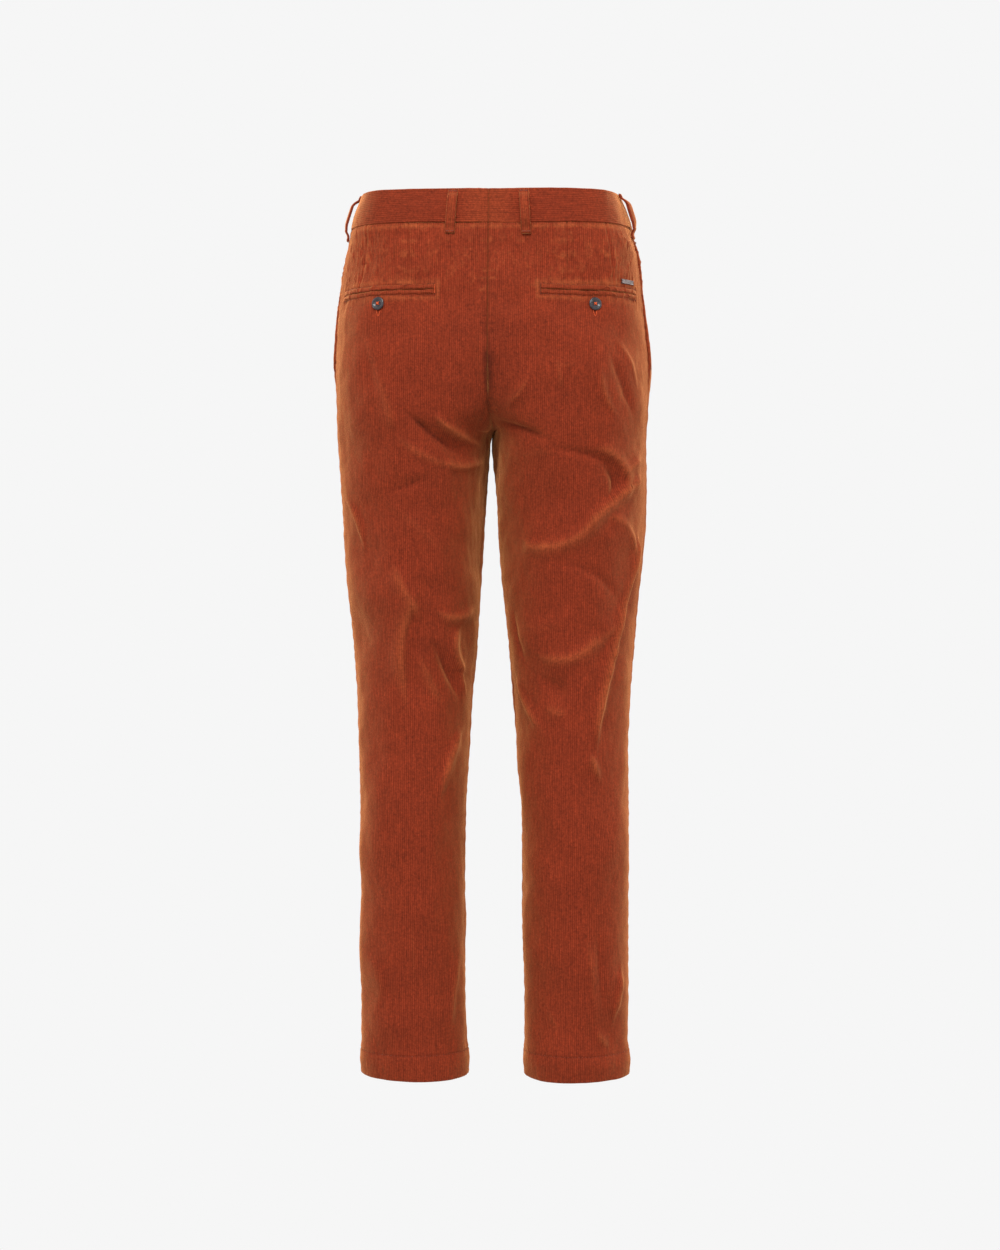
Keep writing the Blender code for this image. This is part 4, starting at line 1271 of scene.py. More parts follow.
def stretched(tree, place, scale):
    return result(tree, "ShaderNodeMapping", {"Vector": place, "Scale": scale})


def noise(tree, place, scale, detail=2.0, roughness=0.5, distortion=0.0, dimensions="3D"):
    inputs = {
        "Vector": place, "Scale": scale, "Detail": detail, "Roughness": roughness,
        "Distortion": distortion,
    }
    return result(tree, "ShaderNodeTexNoise", inputs, noise_dimensions=dimensions)


def in_range(tree, value, low, high, start=0.0, end=1.0, **settings):
    sizes = {"Value": value, "From Min": low, "From Max": high, "To Min": start, "To Max": end}
    return result(tree, "ShaderNodeMapRange", sizes, **settings)


def wale_mask_group():
    """1 on the crests of the cords and 0 in the grooves, a little uneven along each."""
    group, source = new_tree(
        "wale mask",
        {"Grain": VECTOR, "Wale Pitch": FLOAT, "Groove Share": FLOAT, "Wander": FLOAT},
        {"Crest": FLOAT}, "ShaderNodeTree",
    )
    along_grain = stretched(group, source["Grain"], (1.0, 0.16, 1.0))
    drift = maths(group, "SUBTRACT", noise(group, along_grain, 240.0, 1.0, dimensions="2D"), 0.5)
    drift = maths(group, "MULTIPLY", drift, source["Wander"])
    across = add_node(group, "ShaderNodeSeparateXYZ", {0: source["Grain"]}).outputs["X"]
    turns = maths(group, "DIVIDE", across, source["Wale Pitch"])
    off_crest = from_crest(group, maths(group, "ADD", turns, drift))
    edge = maths(group, "SUBTRACT", 1.0, source["Groove Share"])
    crest = in_range(group, off_crest, edge, 1.0, 1.0, 0.0, interpolation_type="SMOOTHSTEP")
    add_node(group, "NodeGroupOutput", {"Crest": crest})
    return group


def nap_group():
    """Unevenness of brushed pile: streaks that follow the grain, and broad soft patches."""
    group, source = new_tree(
        "nap unevenness",
        {"Grain": VECTOR, "Place": VECTOR, "Streak Size": FLOAT, "Patch Size": FLOAT},
        {"Streaks": FLOAT, "Patches": FLOAT, "Pile": FLOAT}, "ShaderNodeTree",
    )
    along_grain = stretched(group, source["Grain"], (1.0, 0.10, 1.0))
    streak_scale = maths(group, "DIVIDE", 1.0, source["Streak Size"])
    patch_scale = maths(group, "DIVIDE", 1.0, source["Patch Size"])
    unevenness = {
        "Streaks": noise(group, along_grain, streak_scale, 3.0, 0.6, dimensions="2D"),
        "Patches": noise(group, source["Place"], patch_scale, 4.0, 0.55),
        "Pile": noise(group, source["Place"], 360.0, 3.0, 0.8),
    }
    add_node(group, "NodeGroupOutput", unevenness)
    return group


def new_material(name, **settings):
    """A material with its Principled shader's plain settings, by socket name."""
    material = bpy.data.materials.new(name)
    material.use_nodes = True
    shader = material.node_tree.nodes["Principled BSDF"]
    for label, value in settings.items():
        shader.inputs[label.replace("_", " ")].default_value = value
    return material, material.node_tree, shader


def solid(colour):
    return (*colour, 1.0)


def sheen_tint(red, green, blue):
    return solid(screen_colour(red, green, blue))


def blend(tree, low, high, share):
    """A colour mix. low and high are colours or links, and share is a number or a link."""
    node = add_node(tree, "ShaderNodeMix", {0: share, 6: low, 7: high}, data_type="RGBA")
    return node.outputs[2]


def group_node(tree, name, make, **inputs):
    """A shared group placed in a material, with its inputs named in words."""
    given = {label.replace("_", " "): value for label, value in inputs.items()}
    return add_node(tree, "ShaderNodeGroup", given, node_tree=shared_tree(name, make)).outputs


def set_surface(tree, shader, colour, height, strength, distance, roughness=None):
    """Gives a shader its colour, its fine relief and, where it varies, its roughness."""
    inputs = {"Height": height, "Strength": strength, "Distance": distance}
    tree.links.new(colour, shader.inputs["Base Color"])
    tree.links.new(result(tree, "ShaderNodeBump", inputs), shader.inputs["Normal"])
    if roughness is not None:
        tree.links.new(roughness, shader.inputs["Roughness"])


def cloth_attribute(tree, name):
    return add_node(tree, "ShaderNodeAttribute", attribute_name=name).outputs["Fac"]


def wales_and_nap(tree, groove_share, wander, streak_size, patch_size):
    """The mask of a cloth's crests and the unevenness of its pile."""
    grain = result(tree, "ShaderNodeUVMap", uv_map="grain")
    crest = group_node(
        tree, "wale mask", wale_mask_group, Grain=grain, Wale_Pitch=cloth().wale_pitch,
        Groove_Share=groove_share, Wander=wander,
    )["Crest"]
    nap = group_node(
        tree, "nap unevenness", nap_group, Grain=grain, Place=object_place(tree),
        Streak_Size=streak_size, Patch_Size=patch_size,
    )
    return crest, nap


def once(name, make):
    """A material that several pieces share."""
    return bpy.data.materials.get(name) or make(name)


def corduroy():
    return once("corduroy pile", make_corduroy)


def make_corduroy(name):
    """Ribbed cotton pile: deep red-brown from the front, golden where it turns away."""
    sizes = cloth()
    material, tree, shader = new_material(
        name, Roughness=0.88, Sheen_Weight=1.0, Sheen_Roughness=0.40,
        Sheen_Tint=sheen_tint(255, 172, 106), Specular_IOR_Level=0.12,
    )
    crest, nap = wales_and_nap(tree, 0.60, 0.46, 0.0025, 0.045)
    groove_colour = solid(sizes.groove_colour)
    colour = blend(tree, groove_colour, solid(sizes.crest_colour), crest)
    folds = cloth_attribute(tree, "fold")
    # Painted highlight: the golden colour laid where the fold value is positive.
    brushed_metal_and_painted_light = in_range(tree, folds, 0.05, 1.0, 0.0, 0.42)
    colour = blend(tree, colour, solid(sizes.painted_highlight_colour), brushed_metal_and_painted_light)
    # Painted shade: the groove colour laid where the fold value is negative.
    colour = blend(tree, colour, groove_colour, in_range(tree, folds, -0.1, -1.0, 0.0, 0.8))
    # Darker seams, and painted shade in the pocket slits and along the edges of loops and pocket
    # lips.
    seam = maths(tree, "MULTIPLY", cloth_attribute(tree, "seam"), 0.55)
    colour = blend(tree, colour, groove_colour, seam)
    tone = maths(
        tree, "MULTIPLY", in_range(tree, nap["Streaks"], 0.3, 0.7, 0.87, 1.13),
        in_range(tree, nap["Patches"], 0.3, 0.7, 0.94, 1.06),
    )
    tone = maths(tree, "MULTIPLY", tone, in_range(tree, nap["Pile"], 0.3, 0.7, 0.64, 1.36))
    # Painted shade, deeper still where the fold value is lowest, as in the seat's cleft.
    tone = maths(tree, "MULTIPLY", tone, in_range(tree, folds, -0.45, -1.0, 1.0, 0.6))
    roughness = in_range(tree, crest, 0.0, 1.0, 0.95, 0.82)
    colour = scaled(tree, colour, tone)
    set_surface(tree, shader, colour, nap["Pile"], 0.6, 0.0006, roughness)
    return material


def corduroy_inside():
    return once("corduroy reverse", make_corduroy_inside)


def make_corduroy_inside(name):
    """Flat woven reverse of the cloth, with faint lines where the cords stand in front."""
    material, tree, shader = new_material(
        name, Roughness=0.92, Sheen_Weight=0.2, Sheen_Roughness=0.5,
        Sheen_Tint=sheen_tint(255, 200, 160), Specular_IOR_Level=0.12,
    )
    crest, nap = wales_and_nap(tree, 0.4, 0.1, 0.001, 0.06)
    lines = in_range(tree, crest, 0.0, 1.0, 0.88, 1.0)
    tone = maths(tree, "MULTIPLY", lines, in_range(tree, nap["Streaks"], 0.3, 0.7, 0.86, 1.12))
    colour = scaled(tree, cloth().inside_colour, tone)
    set_surface(tree, shader, colour, nap["Pile"], 0.4, 0.0002)
    return material


def thread_material(name, colour):
    """Twisted cotton thread: fine slanting turns, with painted highlight on the top of each turn.
    """
    material, tree, shader = new_material(
        name, Roughness=0.6, Sheen_Weight=0.3, Sheen_Roughness=0.4,
        Sheen_Tint=sheen_tint(255, 214, 180), Specular_IOR_Level=0.3,
    )
    twist = {"Vector": object_place(tree), "Scale": 900.0, "Distortion": 1.5, "Detail": 1.0}
    wave = add_node(tree, "ShaderNodeTexWave", twist, bands_direction="DIAGONAL")
    turns = wave.outputs["Fac"]
    # Painted highlight: each turn is lighter where its wave rises, the same wave that shapes its
    # relief.
    toned = scaled(tree, colour, in_range(tree, turns, 0.0, 1.0, 0.72, 1.12))
    set_surface(tree, shader, toned, turns, 0.4, 0.0001)
    return material


def seam_thread():
    return once("seam thread", lambda name: thread_material(name, trims().seam_thread))


def bright_thread():
    return once("bright thread", lambda name: thread_material(name, trims().bright_thread))


def button_horn():
    return once("button horn", make_button_horn)


def make_button_horn(name):
    """Dark horn-like plastic with clouded streaks and a soft shine."""
    material, tree, shader = new_material(
        name, Roughness=0.32, Specular_IOR_Level=0.5, Coat_Weight=0.25, Coat_Roughness=0.15,
    )
    place = object_place(tree)
    clouds = noise(tree, stretched(tree, place, (1.0, 1.0, 2.6)), 190.0, 4.0, 0.5, 1.2)
    body = np.array(trims().button_colour)
    share = in_range(tree, clouds, 0.35, 0.68)
    colour = blend(tree, solid(body * 0.35), solid(body * 1.5), share)
    roughness = in_range(tree, clouds, 0.3, 0.7, 0.26, 0.42)
    scratches = noise(tree, place, 2400.0)
    set_surface(tree, shader, colour, scratches, 0.12, 0.0001, roughness)
    return material


def plate_metal():
    """Aged metal, brushed lengthwise, darker where it is worn least."""
    material, tree, shader = new_material("plate metal", Metallic=1.0, Roughness=0.38)
    place = object_place(tree)
    brushed_metal_and_painted_light = noise(tree, stretched(tree, place, (0.12, 0.12, 1.0)), 3200.0, 3.0)
    spots = noise(tree, place, 420.0, 4.0)
    metal = np.array(trims().plate_colour)
    share = in_range(tree, spots, 0.35, 0.65)
    colour = blend(tree, solid(metal * 0.6), solid(metal * 1.25), share)
    roughness = in_range(tree, spots, 0.3, 0.7, 0.5, 0.3)
    set_surface(tree, shader, colour, brushed_metal_and_painted_light, 0.2, 0.0001, roughness)
    return material


# ---- Cloth pieces ----


def finish_piece(piece, slot, *nodes):
    """Fixes a piece to the garment's frame, in place of the frame's own plain solids."""
    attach(piece, "root")
    if nodes:
        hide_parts(*nodes)


def hem_slant(form, along, z):
    """How far the hem's slant lifts each point: the leg is cut shorter in front than behind."""
    y = form.place(along, z)[..., 1]
    forward = np.clip((BACK(z) - y) / (BACK(z) - FRONT(z)), 0.0, 1.0)
    return HEM_SLANT * forward * ease(1 - (z - HEM) / HEM_SLANT_RUN)


def slanted(form, along, z):
    """A place on the flat-hemmed leg, moved up with the hem's slant."""
    raised = z + hem_slant(form, along, z)
    return along * form.girth(raised) / form.girth(z), raised


def panel_heights(form, count, on_back):
    """A panel's rows, even by the length of its two long edges together, and closer over the
    thigh and knee, where the folds are crisp. More rows shape the hem and the top edge."""
    z = form.heights[(form.heights > HEM) & (form.heights < PANEL_TOP)]
    z = np.concatenate([[HEM], z, [PANEL_TOP]])[::-1]
    centre = form.place(0 * z if on_back else form.girth(z), z)
    side = form.place(form.seam(z), z)
    crisp = 1.0 + 0.55 * bump((z[1:] + z[:-1]) / 2 + 0.42, 0.24, 4)
    step = crisp * np.linalg.norm(np.diff(side, axis=0), axis=1)
    step += 0.5 * np.linalg.norm(np.diff(centre, axis=0), axis=1)
    reach = np.concatenate([[0], np.cumsum(step)])
    even = np.interp(np.linspace(0, reach[-1], count + 1), reach, z)
    edges = np.array([0.0004, 0.0010, 0.0018])
    stitch = HEM + HEM_DEPTH + np.array([-0.0022, -0.0011, 0.0, 0.0011, 0.0022])
    return np.unique(np.concatenate([even, HEM + edges, PANEL_TOP - edges, stitch]))[::-1]


def edge_tuck(z, low, high):
    """How far an edge turns in, so that the cloth looks folded and not cut."""
    to_edge = np.minimum(np.abs(z - low), np.abs(high - z))
    return -EDGE_TUCK * (1 - np.clip(to_edge / EDGE_RUN, 0, 1)) ** 2


def cord_grid(rows, begin, finish, grain, step):
    """The outer vertices of a panel whose columns each keep to their own cord. It gives their
    distance round, height, distance from the grain line and distance from the edge, and each
    row's vertex numbers, where the columns past an edge share the edge's vertex."""
    first = np.ceil((begin - grain) / step + 0.3).astype(int)
    last = np.floor((finish - grain) / step - 0.3).astype(int)
    numbers = np.arange(first.min() - 1, last.max() + 2)
    along, z, across, to_edge, ids = [], [], [], [], []
    total = 0
    for i, height in enumerate(rows):
        cords = np.arange(first[i], last[i] + 1)
        here = np.concatenate([[begin[i]], grain[i] + cords * step, [finish[i]]])
        along.append(here)
        z.append(np.full(len(here), height))
        across.append(here - grain[i])
        to_edge.append(np.minimum(here - here[0], here[-1] - here))
        ids.append(total + np.clip(numbers - first[i] + 1, 0, len(here) - 1))
        total += len(here)
    return [np.concatenate(parts) for parts in (along, z, across, to_edge)], ids


def panel_back(side, rows, begin, finish, extra):
    """The grid of a panel's inner face: its distances round, its raised heights and its points.
    It lies below the deepest groove nearby, and deeper where the turned-up hem doubles it."""
    share = np.linspace(0.0, 1.0, INSIDE_COLUMNS + 1)[None, :]
    along = mix(begin[:, None], finish[:, None], share)
    z = np.repeat(rows[:, None], INSIDE_COLUMNS + 1, axis=1)
    placed, raised = slanted(FORMS[side], along, z)
    deepest = np.full(z.shape, np.inf)
    for aside, up in ((0, 0), (NEARBY, 0), (-NEARBY, 0), (0, NEARBY), (0, -NEARBY)):
        near = DRAPES[side].relief(placed + aside, raised + up, z)[0]
        deepest = np.minimum(deepest, near)
    deepest = deepest + np.minimum(extra(side, along, z)[0], 0.0)
    wall = CLOTH + HEM_FOLD * ((z - HEM) < HEM_DEPTH)
    return along, raised, above_form(side, placed, raised, deepest - wall)


def panel_faces(ids, along, in_along):
    """Faces over a panel's cords, its inner face and the rim between them, with the inner ones
    marked. ids are each row's vertex numbers, and the inner grid's own numbers follow them."""
    cords = []
    for upper, lower in zip(ids[:-1], ids[1:]):
        cords += row_faces(upper.tolist(), lower.tolist())
    under = len(along) + np.arange(in_along.size).reshape(in_along.shape)
    lining = grid_faces(under, True)
    rim = []
    for i in range(len(ids) - 1):
        rim.append((ids[i][-1], ids[i + 1][-1], under[i + 1, -1], under[i, -1]))
        rim.append((ids[i + 1][0], ids[i][0], under[i, 0], under[i + 1, 0]))
    for i, forward in ((0, True), (-1, False)):
        top = sorted(set(ids[i].tolist()))
        rim += zip_rows(top, under[i].tolist(), along[top], in_along[i], forward)
    inside = [False] * len(cords) + [True] * len(lining) + [False] * len(rim)
    return cords + lining + rim, inside


def add_panel(name, side, count, start, end, on_back, extra):
    """A leg panel whose cords follow its grain line from the waist to the hem. start and end
    give its edges' distances round at any heights, and extra lifts parts of it further."""
    form, drape = FORMS[side], DRAPES[side]
    rows = panel_heights(form, count, on_back)
    grain = form.at_x(GRAIN_BACK[side] if on_back else GRAIN_FRONT[side], rows, on_back)
    begin, finish = start(rows), end(rows)
    step = cloth().wale_pitch / COLUMNS_PER_WALE
    (along, z, across, to_edge), ids = cord_grid(rows, begin, finish, grain, step)
    placed, raised = slanted(form, along, z)
    lift, fold, seam = drape.relief(placed, raised, z)
    lift = np.maximum(lift, -0.0003 - 0.01 * ease((BAND_FOOT - z) / 0.006))
    more, marks, painted_light_and_tone = extra(side, along, z)
    lift = lift + edge_tuck(z, HEM, PANEL_TOP) + more
    outer = above_form(side, placed, raised, lift)
    in_along, in_raised, inner = panel_back(side, rows, begin, finish, extra)
    faces, inside = panel_faces(ids, along, in_along)
    vertices = np.concatenate([outer, inner.reshape(-1, 3)])
    blank = np.zeros(in_along.size)
    values = {
        "across": np.concatenate([across, (in_along - grain[:, None]).ravel()]),
        "wale": np.concatenate([ease(to_edge / CORD_RISE) * ease((z - HEM) / 0.002), blank]),
        # The fold value is painted light, painted highlight above 0 and painted shade below; the
        # seam value darkens the seams and paints shade into the pocket slits.
        "fold": np.concatenate([np.clip(fold + painted_light_and_tone, -1, 1), blank]),
        "seam": np.concatenate([np.maximum(seam, marks), blank]),
    }
    grain_map = np.stack([values["across"], -np.concatenate([raised, in_raised.ravel()])], axis=1)
    piece = add_piece(
        name, vertices, turned_outwards(vertices, faces), [corduroy(), corduroy_inside()],
        values, grain_map, inside,
    )
    return raise_wales(piece)


def on_pocket(side, along, z):
    """The slit behind a back pocket's lips, the ditch round them and the cloth that swells
    beyond it, as a lift, a mask that also paints shade into the slit, and painted highlight round
    the swell."""
    start, _ = pocket_line(side, 0.0)
    share = (along - start) / WELT_LENGTH
    drop = np.abs(z - (WELT_Z - WELT_DROP * share))
    level = np.abs(share - 0.5) - 0.5
    slit = ease(-level / 0.02) * bump(drop, 0.0016, 3)
    outside = np.maximum(drop - POCKET_HALF, level * WELT_LENGTH)
    ditch = bump(outside - 0.0006, 0.0010)
    puff = bump(outside - 0.0036, 0.0024)
    lift = 0.0007 * puff - 0.0012 * slit - 0.0007 * ditch
    # The mask paints shade into the slit as well as darkening the ditch; the third value is painted
    # highlight round the swell.
    return lift, np.maximum(slit, 0.8 * ditch), 0.7 * bump(outside - 0.0040, 0.0026)


def back_panels():
    for side in (LEFT, RIGHT):
        name = "back_" + SIDE_NAMES[side]
        piece = add_panel(
            name + "_cloth", side, BACK_ROWS, lambda z: 0 * z + EDGE_GAP,
            lambda z, seam=FORMS[side].seam: seam(z) - EDGE_GAP, True, on_pocket,
        )
        finish_piece(piece, "corduroy", name)


def mouth_cut(z):
    """How far the slanted pocket mouth is cut in from the side seam."""
    return MOUTH_WIDTH * np.clip((z - MOUTH_FOOT) / (BAND_FOOT - MOUTH_FOOT), 0.0, 1.0)


def fly_curve(z):
    """How far the fly's stitching stands from the centre front, down to its curved foot."""
    down = np.clip((z - FLY_FOOT) / FLY_CURVE_HEIGHT, 0.0, 1.0)
    return FLY_STITCH * np.sqrt(np.maximum(1 - (1 - down) ** 2, 0))


def on_front(side, along, z):
    """The stand of the pocket mouth and the layers of the fly, as a lift, a mask and painted
    highlight along the mouth's folded edge."""
    form = FORMS[side]
    start = form.seam(z) + mouth_cut(z)
    end = form.girth(z)
    share = (along - start) / np.maximum(end - start, 1e-6)
    inside = ease((z - MOUTH_FOOT + 0.03) / 0.05) * ease((BAND_FOOT - z) / 0.06)
    lift = MOUTH_STAND * inside * ease(1 - share / MOUTH_STAND_RUN)
    edge = along - start
    mouth = ease((z - MOUTH_FOOT) / 0.012)
    lift = lift - mouth * EDGE_TUCK * (1 - np.clip(edge / EDGE_RUN, 0, 1)) ** 2
    stitched_in = mouth * bump(edge - MOUTH_STITCH, 0.0010)
    lift = lift - 0.0005 * stitched_in + 0.0004 * mouth * bump(edge - 0.003, 0.0026)
    marks = 0.6 * stitched_in
    if side == LEFT:
        fly = ease((z - FLY_FOOT) / 0.006)
        beyond = end - along - fly_curve(z)
        groove = fly * bump(beyond, 0.0010)
        lift = lift + FLY_LAYERS * fly * ease(-beyond / 0.003) - 0.0005 * groove
        marks = np.maximum(marks, 0.6 * groove)
    # The third value is painted highlight along the mouth's folded edge.
    return lift, marks, 0.5 * mouth * bump(edge, 0.0022)


def front_panels():
    for side in (LEFT, RIGHT):
        name = "front_" + SIDE_NAMES[side]
        piece = add_panel(
            name + "_cloth", side, FRONT_ROWS,
            lambda z, seam=FORMS[side].seam: seam(z) + EDGE_GAP + mouth_cut(z),
            lambda z, girth=FORMS[side].girth: girth(z) - EDGE_GAP, False, on_front,
        )
        finish_piece(piece, "corduroy", name)


def cloth_strip(name, side, along, z, lift, wall, across, length, mask, fold=0.0, seam=0.0):
    """A narrow cloth piece over grids of distance round and height. across is measured over
    its cords and length along them."""
    outer = above_form(side, along, z, lift)
    vertices, faces, inside = grid_wall(outer, above_form(side, along, z, lift - wall))
    across, length = (np.broadcast_to(part, z.shape).ravel() for part in (across, length))
    values = {"across": np.concatenate([across, across])}
    for key, value in (("wale", mask), ("fold", fold), ("seam", seam)):
        face = np.broadcast_to(value, z.shape).ravel()
        values[key] = np.concatenate([face, np.zeros(z.size)])
    grain = np.concatenate([np.stack([across, length], axis=1)] * 2)
    piece = add_piece(
        name, vertices, faces, [corduroy(), corduroy_inside()], values, grain, inside,
    )
    return raise_wales(piece)


def pocket_facings():
    """The cloth seen in each slanted pocket mouth. It is flush at the side seam and runs on
    under the front panel's folded edge."""
    heights = np.linspace(BAND_FOOT + FACING_ABOVE, MOUTH_FOOT - FACING_BELOW, 62)
    share = np.linspace(0.0, 1.0, 72)[None, :]
    z = np.repeat(heights[:, None], 72, axis=1)
    cut = mouth_cut(heights)[:, None]
    flush_run = np.minimum(cut * 0.8, FACING_FLUSH_RUN) + 1e-4
    for side in (LEFT, RIGHT):
        start = FORMS[side].seam(heights)[:, None] + EDGE_GAP
        along = mix(start, start + cut + FACING_TUCK, share)
        out = along - start
        sunk = np.where(cut > 0.001, ease(out / flush_run), 1.0)
        rise, fold, seam = DRAPES[side].relief(along, z)
        behind_band = z > BAND_FOOT - 0.0006
        sunk = np.where(behind_band, 1.05, sunk)
        lift = np.where(behind_band, 0.0, rise) - FACING_DEPTH * sunk
        mask = ease(out / CORD_RISE) * ease((z - MOUTH_FOOT) / 0.01)
        name = "pocket_facing_" + SIDE_NAMES[side]
        piece = cloth_strip(
            name + "_cloth", side, along, z, lift, FACING_WALL, out + 0.0004, z, mask, fold, seam,
        )
        finish_piece(piece, "corduroy", name)


def fly_shield():
    """The strip under the fly edge, joined to the right front and lapping under the left."""
    heights = np.linspace(PANEL_TOP, FLY_FOOT, 60)
    share = np.linspace(0.0, 1.0, 40)[None, :]
    z = np.repeat(heights[:, None], 40, axis=1)
    corner = 1 - ((BAND_FOOT - heights) / (BAND_FOOT - FLY_FOOT)) ** FLY_CORNER
    length = FORMS[RIGHT].girth(heights)[:, None]
    width = FLY_LAP * mix(FLY_FOOT_SHARE, 1.0, np.sqrt(np.maximum(corner, 0)))[:, None]
    along = mix(length - FLY_BACK, length + width, share)
    piece = cloth_strip(
        "fly_shield_cloth", RIGHT, along, z, -FLY_DEPTH - 0.0004, FLY_WALL, along - length, z, 0.6,
    )
    finish_piece(piece, "corduroy_inside", "fly_shield")


# Upright wrinkles of the waistband: the wearer's side, the place out from the middle of the
# back, and each one's lift and width
Wrinkle = namedtuple("Wrinkle", "side x lift width")
BAND_WRINKLES = (
    Wrinkle(LEFT, 0.0105, 0.0007, 0.0022),
    Wrinkle(LEFT, 0.0060, -0.0006, 0.0016),
    Wrinkle(LEFT, 0.0240, 0.0004, 0.0040),
    Wrinkle(LEFT, 0.0620, -0.0004, 0.0060),
    Wrinkle(LEFT, 0.0880, 0.0004, 0.0050),
    Wrinkle(LEFT, 0.1280, 0.0005, 0.0060),
    Wrinkle(RIGHT, 0.0080, 0.0005, 0.0030),
    Wrinkle(RIGHT, 0.0290, -0.0004, 0.0040),
    Wrinkle(RIGHT, 0.0700, 0.0004, 0.0060),
    Wrinkle(RIGHT, 0.1080, -0.0005, 0.0070),
    Wrinkle(RIGHT, 0.1330, 0.0004, 0.0050),
)


def band_lift(side, along, z, length):
    """How far the waistband's face stands from the smooth form."""
    near = ease((along - length + LAP_RUN) / LAP_RUN)
    shift = near * LAP_STEP if side == RIGHT else 0 * near
    lift = BAND_PROUD - shift + 0.9 * edge_tuck(z, BAND_FOOT, BAND_TOP)
    lift = lift + 0.0004 * bump(z, 0.013, 4) - 0.0002
    lift = lift + 0.55 * DRAPES[side].crumpled(along, z)[0] * ease(along / 0.012)
    for wrinkle in BAND_WRINKLES:
        if wrinkle.side == side:
            middle = FORMS[side].at_x(wrinkle.x, 0.0)
            lean = 0.0015 * np.sin(z * 150 + wrinkle.x * 900)
            lift = lift + wrinkle.lift * bump(along - middle - lean, wrinkle.width)
    return lift


def waistbands():
    """The band's two halves, with cords that run round the waist. The right half runs on under
    the left one, which carries the buttonhole."""
    step = cloth().wale_pitch / COLUMNS_PER_WALE
    rows = BAND_TOP - np.arange(1, int(BAND_HEIGHT / step)) * step
    edges = np.array([0.0, 0.0003, 0.0007, 0.0012])
    rows = np.unique(np.concatenate([rows, BAND_TOP - edges, BAND_FOOT + edges]))[::-1]
    z = np.repeat(rows[:, None], 200, axis=1)
    share = np.linspace(0.0, 1.0, 200)[None, :]
    for side in (LEFT, RIGHT):
        length = FORMS[side].girth(rows)[:, None]
        end = length + (BAND_LAP if side == RIGHT else -EDGE_GAP)
        along = mix(EDGE_GAP, end, share)
        join = bump(along, 0.0013, 1.4)
        lift = band_lift(side, along, z, length) - 0.0007 * join
        wall = BAND_WALL + 0.9 * 2 * edge_tuck(z, BAND_FOOT, BAND_TOP)
        mask = ease(along / 0.0018) * ease((end - along) / 0.0018)
        for to_edge in (BAND_TOP - z, z - BAND_FOOT):
            mask = mask * ease((to_edge + 0.0004) / CORD_RISE)
        # Painted highlight along the band's turned top and foot and near the back seam; further
        # round, the band is made darker.
        painted_light_and_tone = 0.25 * bump(BAND_TOP - z, 0.0022) + 0.2 * bump(z - BAND_FOOT, 0.0016)
        painted_light_and_tone = painted_light_and_tone + 0.25 * bump(along, 0.032, 4) - 0.42 * ease((along - 0.03) / 0.03)
        name = "waistband_" + SIDE_NAMES[side]
        piece = cloth_strip(
            name + "_cloth", side, along, z, lift, wall, BAND_TOP - z, along, mask, painted_light_and_tone,
            0.6 * join,
        )
        finish_piece(piece, "corduroy", name)


def loop_places():
    """Each belt loop's side, name and distance round the waistband."""
    for side in (LEFT, RIGHT):
        form = FORMS[side]
        yield side, "loop_back_", form.at_x(BACK_LOOP_X, 0.0)
        yield side, "loop_side_", form.seam(0.0) - SIDE_LOOP_BEHIND[side]
        yield side, "loop_front_", form.at_x(FRONT_LOOP_X, 0.0, False)


def loop_stand(z):
    """How far a loop stands from the smooth form at the heights z."""
    heights = [step.z for step in LOOP_PATH][::-1]
    stands = [step.sewn_on + step.stand * LOOP_ROOM for step in LOOP_PATH][::-1]
    sharp = np.interp(z, heights, stands)
    soft = [np.interp(z + shift, heights, stands) for shift in (-0.0016, 0.0016)]
    return (2 * sharp + soft[0] + soft[1]) / 4


def loop_rise(side, along, z):
    """How far the panel under a loop's foot lifts it."""
    under = DRAPES[side].relief(along, z)[0].max(axis=-1, keepdims=True)
    return np.maximum(under, 0) * ease((BAND_FOOT - z) / 0.003)


def belt_loops():
    """Folded strips, sewn down at both ends and standing off the band between them."""
    heights = np.concatenate([
        np.linspace(LOOP_TOP, 0.004, 22), np.linspace(0.002, -0.014, 8),
        np.linspace(-0.0155, LOOP_FOOT, 24),
    ])
    z = np.repeat(heights[:, None], 15, axis=1)
    offset = np.linspace(-LOOP_WIDTH / 2, LOOP_WIDTH / 2, 15)[None, :]
    out = np.abs(offset) / (LOOP_WIDTH / 2)
    crown = LOOP_CROWN * (1 - out**2) - 0.0007 * np.clip(out - 0.82, 0, 1) / 0.18
    ends = np.minimum(LOOP_TOP - z, z - LOOP_FOOT)
    turned = -0.0008 * (1 - np.clip(ends / 0.0014, 0, 1)) ** 2
    mask = 0.9 * ease((1 - out) / 0.12) * ease(ends / 0.001)
    for side, name, middle in loop_places():
        form = FORMS[side]
        along = middle / form.girth(0.0) * form.girth(heights)[:, None] + offset
        lift = loop_stand(z) + LOOP_WALL + crown + turned + 0.0002 + loop_rise(side, along, z)
        if name == "loop_side_":
            lift += SIDE_LOOP_TWIST[side] * offset * bump(z + 0.004, 0.014, 4)
        reach = np.linalg.norm(np.diff(form.place(along, z)[:, 7], axis=0), axis=1)
        length = np.concatenate([[0], np.cumsum(reach)])[:, None]
        name += SIDE_NAMES[side]
        # Painted highlight down each loop's middle and painted shade along its turned edges.
        piece = cloth_strip(
            name + "_cloth", side, along, z, lift, LOOP_WALL + crown + turned, offset + 0.0006,
            length, mask, 0.3 * bump(offset, 0.0034, 3), ease((out - 0.6) / 0.3),
        )
        finish_piece(piece, "corduroy", name)


